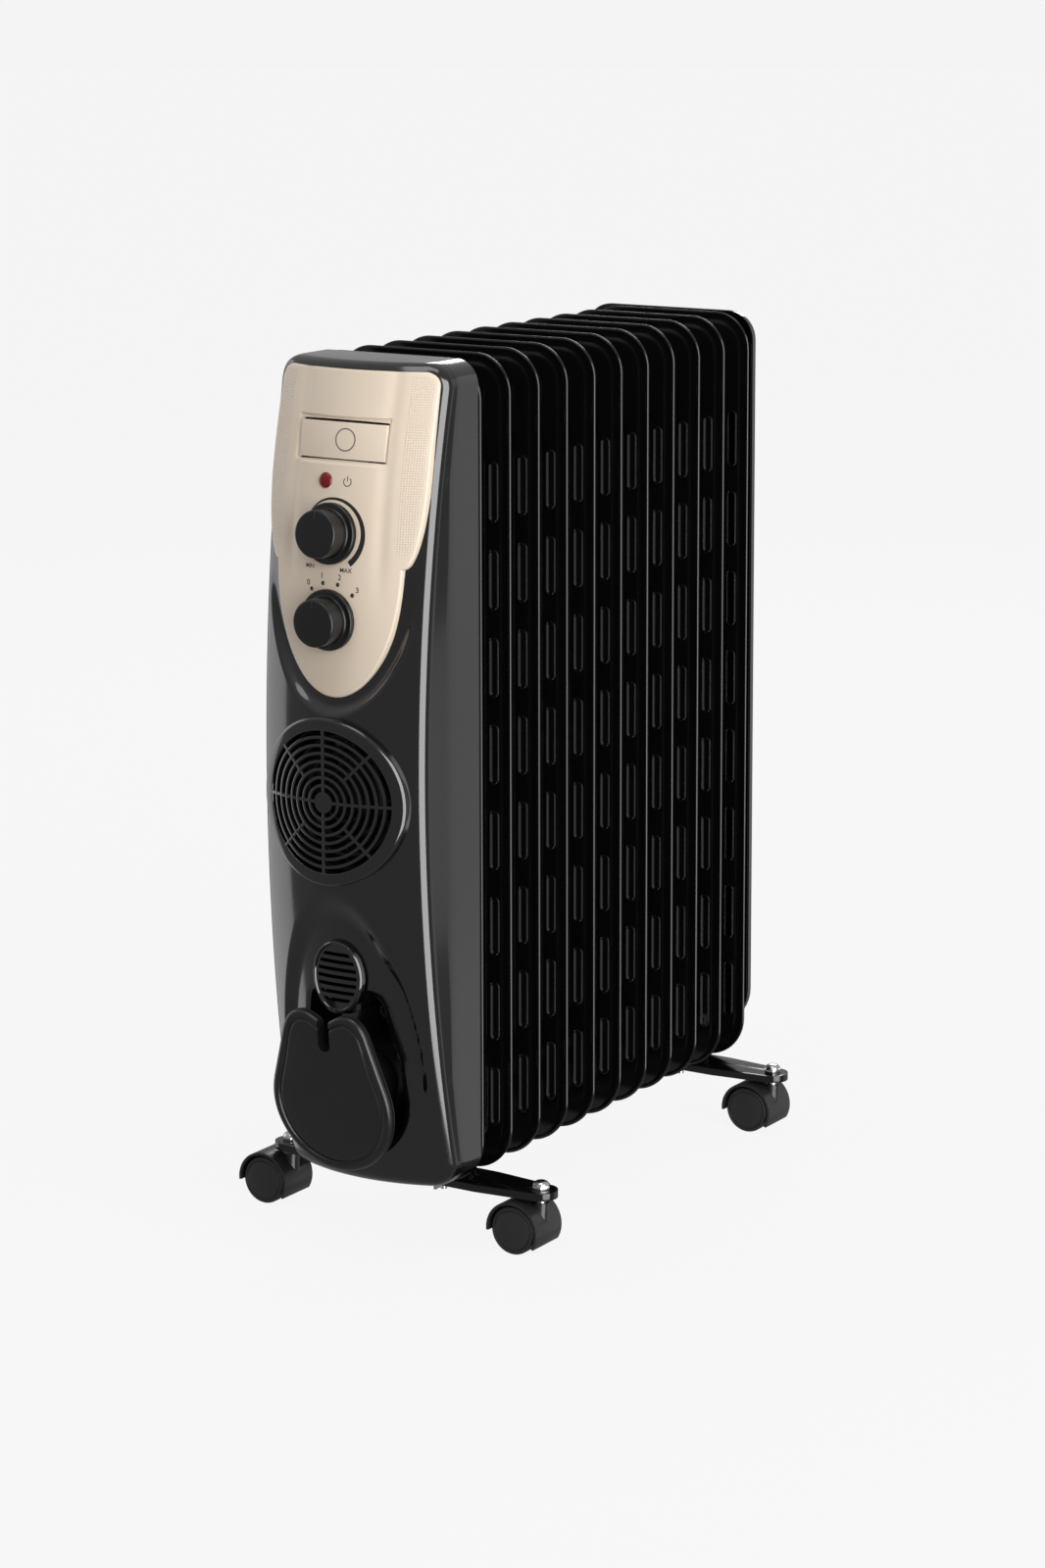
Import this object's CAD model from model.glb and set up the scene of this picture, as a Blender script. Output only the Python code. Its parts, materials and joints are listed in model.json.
"""Looks of an oil-filled column radiator with a fan heater, a cord store and twin-wheel casters.

Lengths are in millimetres in this script's own frame: X is 0 in the middle of the fins, Y is 0 at the
first fin and Z is 0 on the floor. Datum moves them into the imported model's frame, in metres.
"""
import json
import logging
import math
from dataclasses import dataclass, field
from enum import Enum
from typing import Any, Callable, Iterable, Sequence

import bmesh
import bpy
import numpy as np
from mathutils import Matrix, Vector


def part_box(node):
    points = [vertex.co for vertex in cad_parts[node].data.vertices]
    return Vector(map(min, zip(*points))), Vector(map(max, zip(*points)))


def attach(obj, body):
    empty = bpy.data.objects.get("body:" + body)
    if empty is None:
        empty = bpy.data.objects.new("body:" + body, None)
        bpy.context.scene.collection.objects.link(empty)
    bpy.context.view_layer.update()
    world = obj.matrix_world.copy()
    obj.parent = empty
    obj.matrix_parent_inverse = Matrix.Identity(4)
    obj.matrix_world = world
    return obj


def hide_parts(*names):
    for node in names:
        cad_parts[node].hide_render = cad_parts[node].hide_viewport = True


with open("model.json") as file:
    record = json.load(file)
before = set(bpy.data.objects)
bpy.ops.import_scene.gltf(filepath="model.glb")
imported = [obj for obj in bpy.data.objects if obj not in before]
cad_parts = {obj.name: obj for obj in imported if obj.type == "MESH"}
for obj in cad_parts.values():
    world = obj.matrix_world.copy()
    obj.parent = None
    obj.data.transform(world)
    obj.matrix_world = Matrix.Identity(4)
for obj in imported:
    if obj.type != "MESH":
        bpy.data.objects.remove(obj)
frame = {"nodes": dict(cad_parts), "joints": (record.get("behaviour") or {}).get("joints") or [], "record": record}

LOG = logging.getLogger("radiator")
MM = 0.001
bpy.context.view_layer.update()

Points = np.ndarray
Outline = list[tuple[float, float]]


# ------------------------------------------------------------------ named choices


class Cut(Enum):
    """How one closed shape is combined with another."""

    AWAY = "DIFFERENCE"
    JOIN = "UNION"
    COMMON = "INTERSECT"


class Slot(Enum):
    """The record's material slots."""

    COVER = "gloss_black_cover"
    PANEL = "champagne_panel"
    ROCKER = "champagne_rocker"
    ENAMEL = "black_enamel"
    SATIN = "satin_black_plastic"
    CASTER = "caster_black"
    TREAD = "caster_tread"
    LENS = "red_lens"
    ZINC = "bright_zinc"
    SHEET = "galvanised_sheet"
    ELEMENT = "element_steel"
    BRASS = "brass_fitting"
    INNER = "inner_plastic"
    CERAMIC = "ceramic_body"


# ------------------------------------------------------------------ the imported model's own sizes


@dataclass(frozen=True)
class Datum:
    """Where this script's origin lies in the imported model's frame, in metres."""

    x: float
    y: float

    @classmethod
    def from_frame(cls) -> "Datum":
        """Reads the origin from the first fin."""
        low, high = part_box("fin_01")
        return cls((low.x + high.x) / 2, (low.y + high.y) / 2)

    def metres(self, points: Points) -> Points:
        """Turns script millimetres into the model's metres."""
        return np.asarray(points, float) * MM + np.array([self.x, self.y, 0.0])

    def millimetres(self, point: Iterable[float]) -> Points:
        """Turns a point in the model's metres into script millimetres."""
        return (np.array(list(point), float) - np.array([self.x, self.y, 0.0])) / MM


DATUM = Datum.from_frame()


def node_box(node: str) -> tuple[Points, Points]:
    """Gives a CAD node's lowest and highest corner.

    Args:
        node: the CAD node's name.

    Returns:
        The two corners in script millimetres.
    """
    low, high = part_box(node)
    return DATUM.millimetres(low), DATUM.millimetres(high)


def joint_at(name: str) -> tuple[Points, Points]:
    """Gives a joint's place and direction.

    Args:
        name: the joint's name.

    Returns:
        A point on its axis in script millimetres, and the axis.
    """
    joint = next(j for j in frame["joints"] if j["name"] == name)
    return DATUM.millimetres(joint["pos_m"]), np.array(joint["axis"], float)


def smooth(t: Points | float) -> Points:
    """Rises from 0 to 1 as t does, with level ends."""
    t = np.clip(t, 0.0, 1.0)
    return t * t * (3 - 2 * t)


def ramp(value: Points | float, start: float, end: float) -> Points:
    """Rises smoothly from 0 at start to 1 at end."""
    return smooth((np.asarray(value, float) - start) / (end - start))


def inside_distance(x: Points, z: Points, outline: Outline) -> Points:
    """Distance from each point to a closed outline.

    Args:
        x: the points' first coordinates.
        z: their second coordinates.
        outline: the outline's corners in order.

    Returns:
        The distances, positive inside the outline and negative outside.
    """
    corners = np.array(outline, float)
    best = np.full(np.shape(x), 1e9)
    inside = np.zeros(np.shape(x), bool)
    for a, b in zip(corners, np.roll(corners, -1, axis=0)):
        edge = b - a
        t = np.clip(((x - a[0]) * edge[0] + (z - a[1]) * edge[1]) / max(edge @ edge, 1e-12), 0, 1)
        best = np.minimum(best, np.hypot(x - a[0] - t * edge[0], z - a[1] - t * edge[1]))
        if a[1] != b[1]:
            crosses = (a[1] > z) != (b[1] > z)
            inside ^= crosses & (x < a[0] + (z - a[1]) / (b[1] - a[1]) * edge[0])
    return np.where(inside, best, -best)


def arc(cx: float, cz: float, radius: float, start: float, end: float, steps: int) -> Outline:
    """Points along an arc, in degrees from the first axis towards the second."""
    angles = np.radians(np.linspace(start, end, steps + 1))
    return [(cx + radius * math.cos(a), cz + radius * math.sin(a)) for a in angles]


def ellipse(cz: float, half_w: float, half_h: float, steps: int = 64) -> Outline:
    """Points round an ellipse centred on X = 0."""
    angles = np.linspace(0, 2 * math.pi, steps, endpoint=False)
    return [(half_w * math.cos(a), cz + half_h * math.sin(a)) for a in angles]


def mirrored(right: Outline) -> Outline:
    """Closes a right half, drawn upwards, with its left half."""
    return right + [(-x, z) for x, z in reversed(right)]


def rounded_plate(half: float, bottom: float, top: float, foot_r: float, top_r: float) -> Outline:
    """A rectangle with round corners, centred on X = 0."""
    return mirrored(
        arc(half - foot_r, bottom + foot_r, foot_r, -90, 0, 10) + arc(half - top_r, top - top_r, top_r, 0, 90, 10)
    )


@dataclass(frozen=True)
class FrontForm:
    """The housing's doubly curved front, shared by all that sits on it."""

    depth: float
    bottom: float
    top: float
    rear_half: float
    bulge_z: float = 345.0
    arc_r: float = 1389.0
    crown_r: float = 125.0
    waist: float = 67.5
    flare: float = 3.2
    corner_r: float = 18.0
    nose_r: float = 8.0
    fillet_r: float = 10.0
    fillet_turn: float = 63.0
    crease_depth: float = 38.0
    crease_out: float = 2.6
    rear: float = 1.5
    wall: float = 2.5

    @classmethod
    def from_frame(cls) -> "FrontForm":
        """Reads the overall sizes from the CAD cover."""
        low, high = node_box("front_cover")
        return cls(depth=83.0, bottom=low[2], top=high[2], rear_half=(high[0] - low[0]) / 2)

    def bulge(self, z: Points | float) -> Points:
        """Depth of the middle of the front at a height."""
        return self.depth - (z - self.bulge_z) ** 2 / (2 * self.arc_r)

    def front(self, x: Points | float, z: Points | float) -> Points:
        """Depth of the front's surface."""
        return self.bulge(z) - x**2 / (2 * self.crown_r)

    def half(self, z: float) -> float:
        """Half width of the front at a height."""
        middle = (self.top - self.bottom) / 2
        return self.waist + self.flare * ((z - self.bulge_z) / middle) ** 2


@dataclass(frozen=True)
class PanelForm:
    """The control panel's curve and outline."""

    form: FrontForm
    selector_z: float
    thermostat_z: float
    rocker_z: float
    pilot: tuple[float, float]
    depth: float = 79.5
    arc_r: float = 568.0
    wing_half: float = 65.0
    tongue_half: float = 52.0
    tongue_drop: float = 95.5
    wing_rise: float = 64.0
    corner_r: float = 10.0
    top_margin: float = 5.6
    gap: float = 0.4
    thickness: float = 4.0

    @classmethod
    def from_frame(cls, form: FrontForm) -> "PanelForm":
        """Reads where the controls sit from the joints and the pilot light."""
        low, high = node_box("pilot_light")
        return cls(
            form,
            selector_z=joint_at("selector_turn")[0][2],
            thermostat_z=joint_at("thermostat_turn")[0][2],
            rocker_z=582.0,
            pilot=((low[0] + high[0]) / 2, 554.0),
        )

    @property
    def centre_z(self) -> float:
        """Height where the tongue is widest."""
        return self.selector_z + 40.5

    @property
    def foot_z(self) -> float:
        """Height of the wings' feet."""
        return self.centre_z - 4.0

    @property
    def top(self) -> float:
        """Height of the panel's upper edge."""
        return self.form.top - self.top_margin

    @property
    def bottom(self) -> float:
        """Height of the tongue's tip."""
        return self.centre_z - self.tongue_drop

    def surface(self, x: Points | float, z: Points | float) -> Points:
        """Depth of the panel's surface."""
        return self.depth - (z - self.selector_z) ** 2 / (2 * self.arc_r) - x**2 / (2 * self.form.crown_r)

    def lean(self, z: float) -> float:
        """How far the panel leans back at a height, in radians."""
        return math.atan((z - self.selector_z) / self.arc_r)

    def half(self, z: float) -> float:
        """Half width of the panel at a height."""
        if z <= self.foot_z:
            reach = (self.centre_z - z) / self.tongue_drop
            return self.tongue_half * math.sqrt(max(0.0, 1 - reach * reach))
        sag = max(0.0, self.foot_z + self.wing_rise - z) / self.wing_rise
        wing = self.tongue_half + (self.wing_half - self.tongue_half) * math.sqrt(max(0.0, 1 - sag * sag))
        rise = max(0.0, self.corner_r - self.top + z)
        return wing - self.corner_r + math.sqrt(max(0.0, self.corner_r**2 - rise * rise))

    def levels(self, step: float) -> list[float]:
        """Heights that follow the outline, closer together where it turns fast."""
        quarter = np.linspace(0, math.pi / 2, 30)
        tongue = [self.foot_z - (self.foot_z - self.bottom) * math.cos(a) for a in quarter]
        foot = [self.foot_z + 0.01 + 12 * (1 - math.cos(a)) for a in quarter[:20]]
        sides = np.arange(foot[-1] + step, self.top - self.corner_r, step)
        crown = [self.top - self.corner_r + self.corner_r * math.sin(a) for a in np.linspace(0, math.pi / 2, 10)]
        return [*tongue, *foot, *sides, *crown]

    def outline(self, grow: float) -> Outline:
        """The panel's outline, grown sideways."""
        right = [(self.half(z) + grow, z) for z in self.levels(6.0)]
        right[0] = (0.6, self.bottom - grow)
        right[-1] = (right[-1][0], self.top + grow)
        return mirrored(right)


# ------------------------------------------------------------------ mesh making


def new_object(name: str, points: Points, faces: Sequence[Sequence[int]], material: bpy.types.Material | None = None,
               angle: float = 32.0) -> bpy.types.Object:
    """Makes an object whose place is in its mesh.

    Args:
        name: the object's name.
        points: vertices in script millimetres.
        faces: vertex numbers of each face.
        material: the surface it takes, if it is to be seen.
        angle: faces that meet at less than this, in degrees, are shaded as one surface.

    Returns:
        The new object, with its normals pointing outwards.
    """
    mesh = bpy.data.meshes.new(name)
    mesh.from_pydata(DATUM.metres(points).tolist(), [], [list(map(int, f)) for f in faces])
    build = bmesh.new()
    build.from_mesh(mesh)
    bmesh.ops.remove_doubles(build, verts=build.verts, dist=1e-6)
    bmesh.ops.recalc_face_normals(build, faces=build.faces)
    build.to_mesh(mesh)
    build.free()
    item = bpy.data.objects.new(name, mesh)
    bpy.context.scene.collection.objects.link(item)
    if material is not None:
        mesh.materials.append(material)
    shade(item, angle)
    return item


def shade(item: bpy.types.Object, angle: float) -> None:
    """Shades smooth, with a hard edge where faces meet at more than angle degrees."""
    item.data.shade_smooth()
    item.data.set_sharp_from_angle(angle=math.radians(angle))


def discard(item: bpy.types.Object) -> None:
    """Removes a helper object and its mesh."""
    data = item.data
    bpy.data.objects.remove(item)
    if isinstance(data, bpy.types.Mesh) and data.users == 0:
        bpy.data.meshes.remove(data)


def settle(item: bpy.types.Object, angle: float = 32.0) -> bpy.types.Object:
    """Turns an object's modifiers into a plain mesh.

    Args:
        item: the object to settle.
        angle: the shading angle, in degrees.

    Returns:
        The same object, with a new mesh and no modifiers.
    """
    bpy.context.view_layer.update()
    graph = bpy.context.evaluated_depsgraph_get()
    made = bpy.data.meshes.new_from_object(item.evaluated_get(graph))
    old = item.data
    item.modifiers.clear()
    item.data = made
    made.name = item.name
    if old.users == 0:
        bpy.data.meshes.remove(old)
    shade(item, angle)
    return item


def combine(target: bpy.types.Object, tools: Sequence[bpy.types.Object], how: Cut = Cut.AWAY,
            angle: float = 32.0) -> bpy.types.Object:
    """Cuts, joins or intersects a closed shape with others, which are used up.

    Args:
        target: the shape that stays.
        tools: the closed shapes it is combined with.
        how: the operation.
        angle: the shading angle, in degrees.

    Returns:
        The target, with a plain mesh.
    """
    materials = list(target.data.materials)
    for tool in tools:
        step = target.modifiers.new("shape", "BOOLEAN")
        step.operation = how.value
        step.object = tool
        step.solver = "MANIFOLD"
    settle(target, angle)
    target.data.materials.clear()
    for material in materials:
        target.data.materials.append(material)
    if len(materials) < 2:
        target.data.polygons.foreach_set("material_index", [0] * len(target.data.polygons))
    for tool in tools:
        discard(tool)
    return target


def ring_faces(rings: int, count: int) -> list[list[int]]:
    """Quads between successive closed rings of the same number of points."""
    faces = []
    for k in range(rings - 1):
        for j in range(count):
            nxt = (j + 1) % count
            faces.append([k * count + j, k * count + nxt, (k + 1) * count + nxt, (k + 1) * count + j])
    return faces


def stack(name: str, rings: Sequence[Points], material: bpy.types.Material | None = None,
          angle: float = 32.0) -> bpy.types.Object:
    """Lofts a closed solid through a stack of rings, with flat ends.

    Args:
        name: the object's name.
        rings: arrays of the same number of points, in script millimetres.
        material: the surface it takes.
        angle: the shading angle, in degrees.

    Returns:
        The new object.
    """
    count = len(rings[0])
    faces = ring_faces(len(rings), count)
    faces.append(list(range(count))[::-1])
    faces.append([(len(rings) - 1) * count + j for j in range(count)])
    return new_object(name, np.concatenate([np.asarray(r, float) for r in rings]), faces, material, angle)


def prism(name: str, outline: Outline, front: float, back: float) -> bpy.types.Object:
    """A straight solid along Y with an outline in X and Z.

    Args:
        name: the object's name.
        outline: corners as (x, z).
        front: Y of its front face.
        back: Y of its rear face.

    Returns:
        The new object.
    """
    return stack(name, [np.array([(x, y, z) for x, z in outline]) for y in (front, back)])


def slab_pair(name: str, front: Points, back: Points, material: bpy.types.Material | None = None,
              angle: float = 32.0) -> bpy.types.Object:
    """A closed solid between two grids of points that share their border's numbering.

    Args:
        name: the object's name.
        front: an array of rows, columns and coordinates.
        back: the other side, in the same order.
        material: the surface it takes.
        angle: the shading angle, in degrees.

    Returns:
        The new object.
    """
    rows, cols = front.shape[:2]
    number = np.arange(rows * cols).reshape(rows, cols)
    other = number + rows * cols
    quads = np.stack([number[:-1, :-1], number[:-1, 1:], number[1:, 1:], number[1:, :-1]], -1).reshape(-1, 4)
    faces = quads.tolist() + (quads[:, ::-1] + rows * cols).tolist()
    border = [*number[0, :], *number[1:, -1], *number[-1, -2::-1], *number[-2:0:-1, 0]]
    mirror = [*other[0, :], *other[1:, -1], *other[-1, -2::-1], *other[-2:0:-1, 0]]
    for k in range(len(border)):
        nxt = (k + 1) % len(border)
        faces.append([border[nxt], border[k], mirror[k], mirror[nxt]])
    points = np.concatenate([front.reshape(-1, 3), back.reshape(-1, 3)])
    return new_object(name, points, faces, material, angle)


@dataclass(frozen=True)
class Stand:
    """A local frame: where it stands and which way it faces."""

    origin: Points
    right: Points
    up: Points
    out: Points

    @classmethod
    def on_panel(cls, panel: PanelForm, x: float, z: float, tilt: float = 0.0, pivot: float = 0.0) -> "Stand":
        """Stands on the panel.

        Args:
            panel: the panel's form.
            x: place across the panel.
            z: height above the floor.
            tilt: turn about the local right axis, in radians.
            pivot: depth below the surface of the axis that the tilt turns about.

        Returns:
            The frame, with out pointing straight out of the panel.
        """
        lean = panel.lean(z)
        up = np.array([0.0, math.sin(lean), math.cos(lean)])
        out = np.array([0.0, -math.cos(lean), math.sin(lean)])
        axle = np.array([x, -panel.surface(x, z), z]) - pivot * out
        up, out = (math.cos(tilt) * up + math.sin(tilt) * out, math.cos(tilt) * out - math.sin(tilt) * up)
        return cls(axle + pivot * out, np.array([1.0, 0.0, 0.0]), up, out)

    @classmethod
    def along(cls, origin: Iterable[float], out: Iterable[float]) -> "Stand":
        """Stands at a point and faces along a direction."""
        out = np.array(list(out), float)
        out /= np.linalg.norm(out)
        hint = np.array([0.0, 0.0, 1.0]) if abs(out[2]) < 0.9 else np.array([0.0, 1.0, 0.0])
        right = np.cross(hint, out)
        right /= np.linalg.norm(right)
        return cls(np.array(list(origin), float), right, np.cross(out, right), out)

    def points(self, local: Points) -> Points:
        """Turns local (right, up, out) points into script millimetres."""
        local = np.asarray(local, float)
        return self.origin + local[..., :1] * self.right + local[..., 1:2] * self.up + local[..., 2:3] * self.out


def lathe(name: str, profile: Outline, stand: Stand, material: bpy.types.Material | None = None,
          segments: int = 96, angle: float = 32.0) -> bpy.types.Object:
    """Turns a closed profile about a frame's out axis.

    Args:
        name: the object's name.
        profile: (radius, height) points from the axis round to the axis, or a closed loop off it.
        stand: the frame.
        material: the surface it takes.
        segments: how many steps make the turn.
        angle: the shading angle, in degrees.

    Returns:
        The new object.
    """
    turn = np.linspace(0, 2 * math.pi, segments, endpoint=False)
    rings = []
    for radius, height in profile:
        radius = max(radius, 1e-4)
        rings.append(np.stack([radius * np.cos(turn), radius * np.sin(turn), np.full(segments, height)], -1))
    on_axis = profile[0][0] < 1e-3 and profile[-1][0] < 1e-3
    faces = ring_faces(len(rings), segments)
    if on_axis:
        faces += [list(range(segments))[::-1], [(len(rings) - 1) * segments + j for j in range(segments)]]
    else:
        last = (len(rings) - 1) * segments
        faces += [[last + j, last + (j + 1) % segments, (j + 1) % segments, j] for j in range(segments)]
    return new_object(name, stand.points(np.concatenate(rings)), faces, material, angle)


def softened(node: str, material: bpy.types.Material, width: float, segments: int = 3,
             angle: float = 40.0) -> bpy.types.Object:
    """Copies a CAD node and rounds its edges.

    Args:
        node: the CAD node's name.
        material: the surface the copy takes.
        width: the rounding's width, in millimetres.
        segments: steps round the edge.
        angle: edges sharper than this, in degrees, are rounded.

    Returns:
        The copy, which does not yet stand for the node.
    """
    mesh = frame["nodes"][node].data.copy()
    mesh.name = f"{node}_look"
    build = bmesh.new()
    build.from_mesh(mesh)
    bmesh.ops.remove_doubles(build, verts=build.verts, dist=2e-6)
    bmesh.ops.dissolve_limit(build, angle_limit=math.radians(0.6), verts=build.verts, edges=build.edges)
    build.to_mesh(mesh)
    build.free()
    mesh.attributes.remove(mesh.attributes["custom_normal"]) if "custom_normal" in mesh.attributes else None
    mesh.materials.clear()
    mesh.materials.append(material)
    item = bpy.data.objects.new(f"{node}_look", mesh)
    bpy.context.scene.collection.objects.link(item)
    bevel = item.modifiers.new("edges", "BEVEL")
    bevel.width = width * MM
    bevel.segments = segments
    bevel.limit_method = "ANGLE"
    bevel.angle_limit = math.radians(angle)
    bevel.use_clamp_overlap = True
    bevel.harden_normals = False
    return settle(item, 35.0)


# ------------------------------------------------------------------ node trees


def add_node(tree: bpy.types.NodeTree, kind: str, settings: dict[str, Any] | None = None,
             inputs: dict[str | int, Any] | None = None) -> bpy.types.Node:
    """Adds a node with its settings and links.

    Args:
        tree: the tree it goes into.
        kind: the node's type.
        settings: its properties.
        inputs: for each input's name or number, a value or the output that feeds it.

    Returns:
        The new node.
    """
    node = tree.nodes.new(kind)
    for key, value in (settings or {}).items():
        setattr(node, key, value)
    for key, value in (inputs or {}).items():
        socket = node.inputs[key]
        if isinstance(value, bpy.types.NodeSocket):
            tree.links.new(value, socket)
        else:
            socket.default_value = value
    return node


class ShapeTree:
    """A geometry node tree with named inputs."""

    def __init__(self, name: str, sizes: dict[str, float | int]) -> None:
        """Starts a tree.

        Args:
            name: the tree's name.
            sizes: its inputs' names and usual values. Whole numbers become integer inputs.
        """
        self.tree = bpy.data.node_groups.new(name, "GeometryNodeTree")
        self.tree.interface.new_socket("Geometry", in_out="OUTPUT", socket_type="NodeSocketGeometry")
        for label, value in sizes.items():
            kind = "NodeSocketInt" if isinstance(value, int) else "NodeSocketFloat"
            socket = self.tree.interface.new_socket(label, in_out="INPUT", socket_type=kind)
            socket.default_value = value
        self.tree.interface.new_socket("Part", in_out="INPUT", socket_type="NodeSocketObject")
        self.tree.interface.new_socket("Material", in_out="INPUT", socket_type="NodeSocketMaterial")
        self.given = add_node(self.tree, "NodeGroupInput")

    def size(self, label: str) -> bpy.types.NodeSocket:
        """The output that carries a named input."""
        return self.given.outputs[label]

    def add(self, kind: str, settings: dict[str, Any] | None = None,
            inputs: dict[str | int, Any] | None = None) -> bpy.types.Node:
        """Adds a node to this tree."""
        return add_node(self.tree, kind, settings, inputs)

    def math(self, operation: str, *values: Any) -> bpy.types.NodeSocket:
        """Adds a sum on one to three values."""
        node = self.add("ShaderNodeMath", {"operation": operation}, dict(enumerate(values)))
        return node.outputs[0]

    def close(self, geometry: bpy.types.NodeSocket) -> None:
        """Ends the tree with real, dressed geometry."""
        real = self.add("GeometryNodeRealizeInstances", None, {"Geometry": geometry})
        dressed = self.add("GeometryNodeSetMaterial", None,
                           {"Geometry": real.outputs[0], "Material": self.size("Material")})
        self.add("NodeGroupOutput", None, {0: dressed.outputs[0]})

    def run(self, name: str, values: dict[str, Any], angle: float = 32.0) -> bpy.types.Object:
        """Runs the tree once.

        Args:
            name: the new object's name.
            values: values for the tree's named inputs, in metres where they are lengths.
            angle: the shading angle, in degrees.

        Returns:
            An object with the result as a plain mesh.
        """
        item = bpy.data.objects.new(name, bpy.data.meshes.new(name))
        bpy.context.scene.collection.objects.link(item)
        step = item.modifiers.new("shape", "NODES")
        step.node_group = self.tree
        for socket in self.tree.interface.items_tree:
            if socket.item_type == "SOCKET" and socket.in_out == "INPUT" and socket.name in values:
                step[socket.identifier] = values[socket.name]
        return settle(item, angle)


def spot_tree(name: str) -> ShapeTree:
    """A tree that repeats a part over a grid of places.

    Args:
        name: the tree's name.

    Returns:
        The tree. Its inputs are the counts and the whole spans along X, Y and Z, and the grid's middle.
    """
    shape = ShapeTree(name, {"Across": 2, "Along": 1, "Up": 1, "Span X": 0.1, "Span Y": 0.0, "Span Z": 0.0,
                             "Middle X": 0.0, "Middle Y": 0.0, "Middle Z": 0.0})
    part = shape.add("GeometryNodeObjectInfo", {"transform_space": "ORIGINAL"}, {"Object": shape.size("Part")})
    geometry = part.outputs["Geometry"]
    for count, span, axis in (("Across", "Span X", 0), ("Along", "Span Y", 1), ("Up", "Span Z", 2)):
        step = shape.math("DIVIDE", shape.size(span), shape.math("MAXIMUM", 1.0, shape.math("SUBTRACT", shape.size(count), 1.0)))
        back = shape.math("MULTIPLY", shape.size(span), -0.5)
        spread = shape.add("ShaderNodeCombineXYZ", None, {axis: step})
        start = shape.add("ShaderNodeCombineXYZ", None, {axis: back})
        line = shape.add("GeometryNodeMeshLine", {"mode": "OFFSET"},
                         {"Count": shape.size(count), "Start Location": start.outputs[0], "Offset": spread.outputs[0]})
        spread_out = shape.add("GeometryNodeInstanceOnPoints", None, {"Points": line.outputs[0], "Instance": geometry})
        geometry = spread_out.outputs[0]
    middle = shape.add("ShaderNodeCombineXYZ", None,
                       {0: shape.size("Middle X"), 1: shape.size("Middle Y"), 2: shape.size("Middle Z")})
    moved = shape.add("GeometryNodeTransform", None, {"Geometry": geometry, "Translation": middle.outputs[0]})
    shape.close(moved.outputs[0])
    return shape


@dataclass
class Repeater:
    """Repeats a part, modelled at this script's origin, over a grid of places."""

    tree: ShapeTree = field(default_factory=lambda: spot_tree("repeat_on_grid"))

    def run(self, name: str, part: bpy.types.Object, material: bpy.types.Material, counts: tuple[int, int, int],
            spans: Sequence[float], middle: Sequence[float], angle: float = 32.0) -> bpy.types.Object:
        """Repeats a part and uses it up.

        Args:
            name: the new object's name.
            part: the part, standing at this script's origin.
            material: the surface the copies take.
            counts: copies along X, Y and Z.
            spans: distances from the first copy to the last, in millimetres.
            middle: where the middle of the copies goes, from this script's origin.
            angle: the shading angle, in degrees.

        Returns:
            The object that holds the copies.
        """
        values = {"Part": part, "Material": material}
        values.update(zip(("Across", "Along", "Up"), counts))
        values.update(zip(("Span X", "Span Y", "Span Z"), (float(s) * MM for s in spans)))
        values.update(zip(("Middle X", "Middle Y", "Middle Z"), (float(m) * MM for m in middle)))
        made = self.tree.run(name, values, angle)
        discard(part)
        return made


# ------------------------------------------------------------------ finishes


def colour(code: str) -> tuple[float, float, float, float]:
    """Turns an sRGB hex code into a linear colour."""
    parts = [int(code[k:k + 2], 16) / 255 for k in (1, 3, 5)]
    linear = [p / 12.92 if p <= 0.04045 else ((p + 0.055) / 1.055) ** 2.4 for p in parts]
    return (*linear, 1.0)


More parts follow.
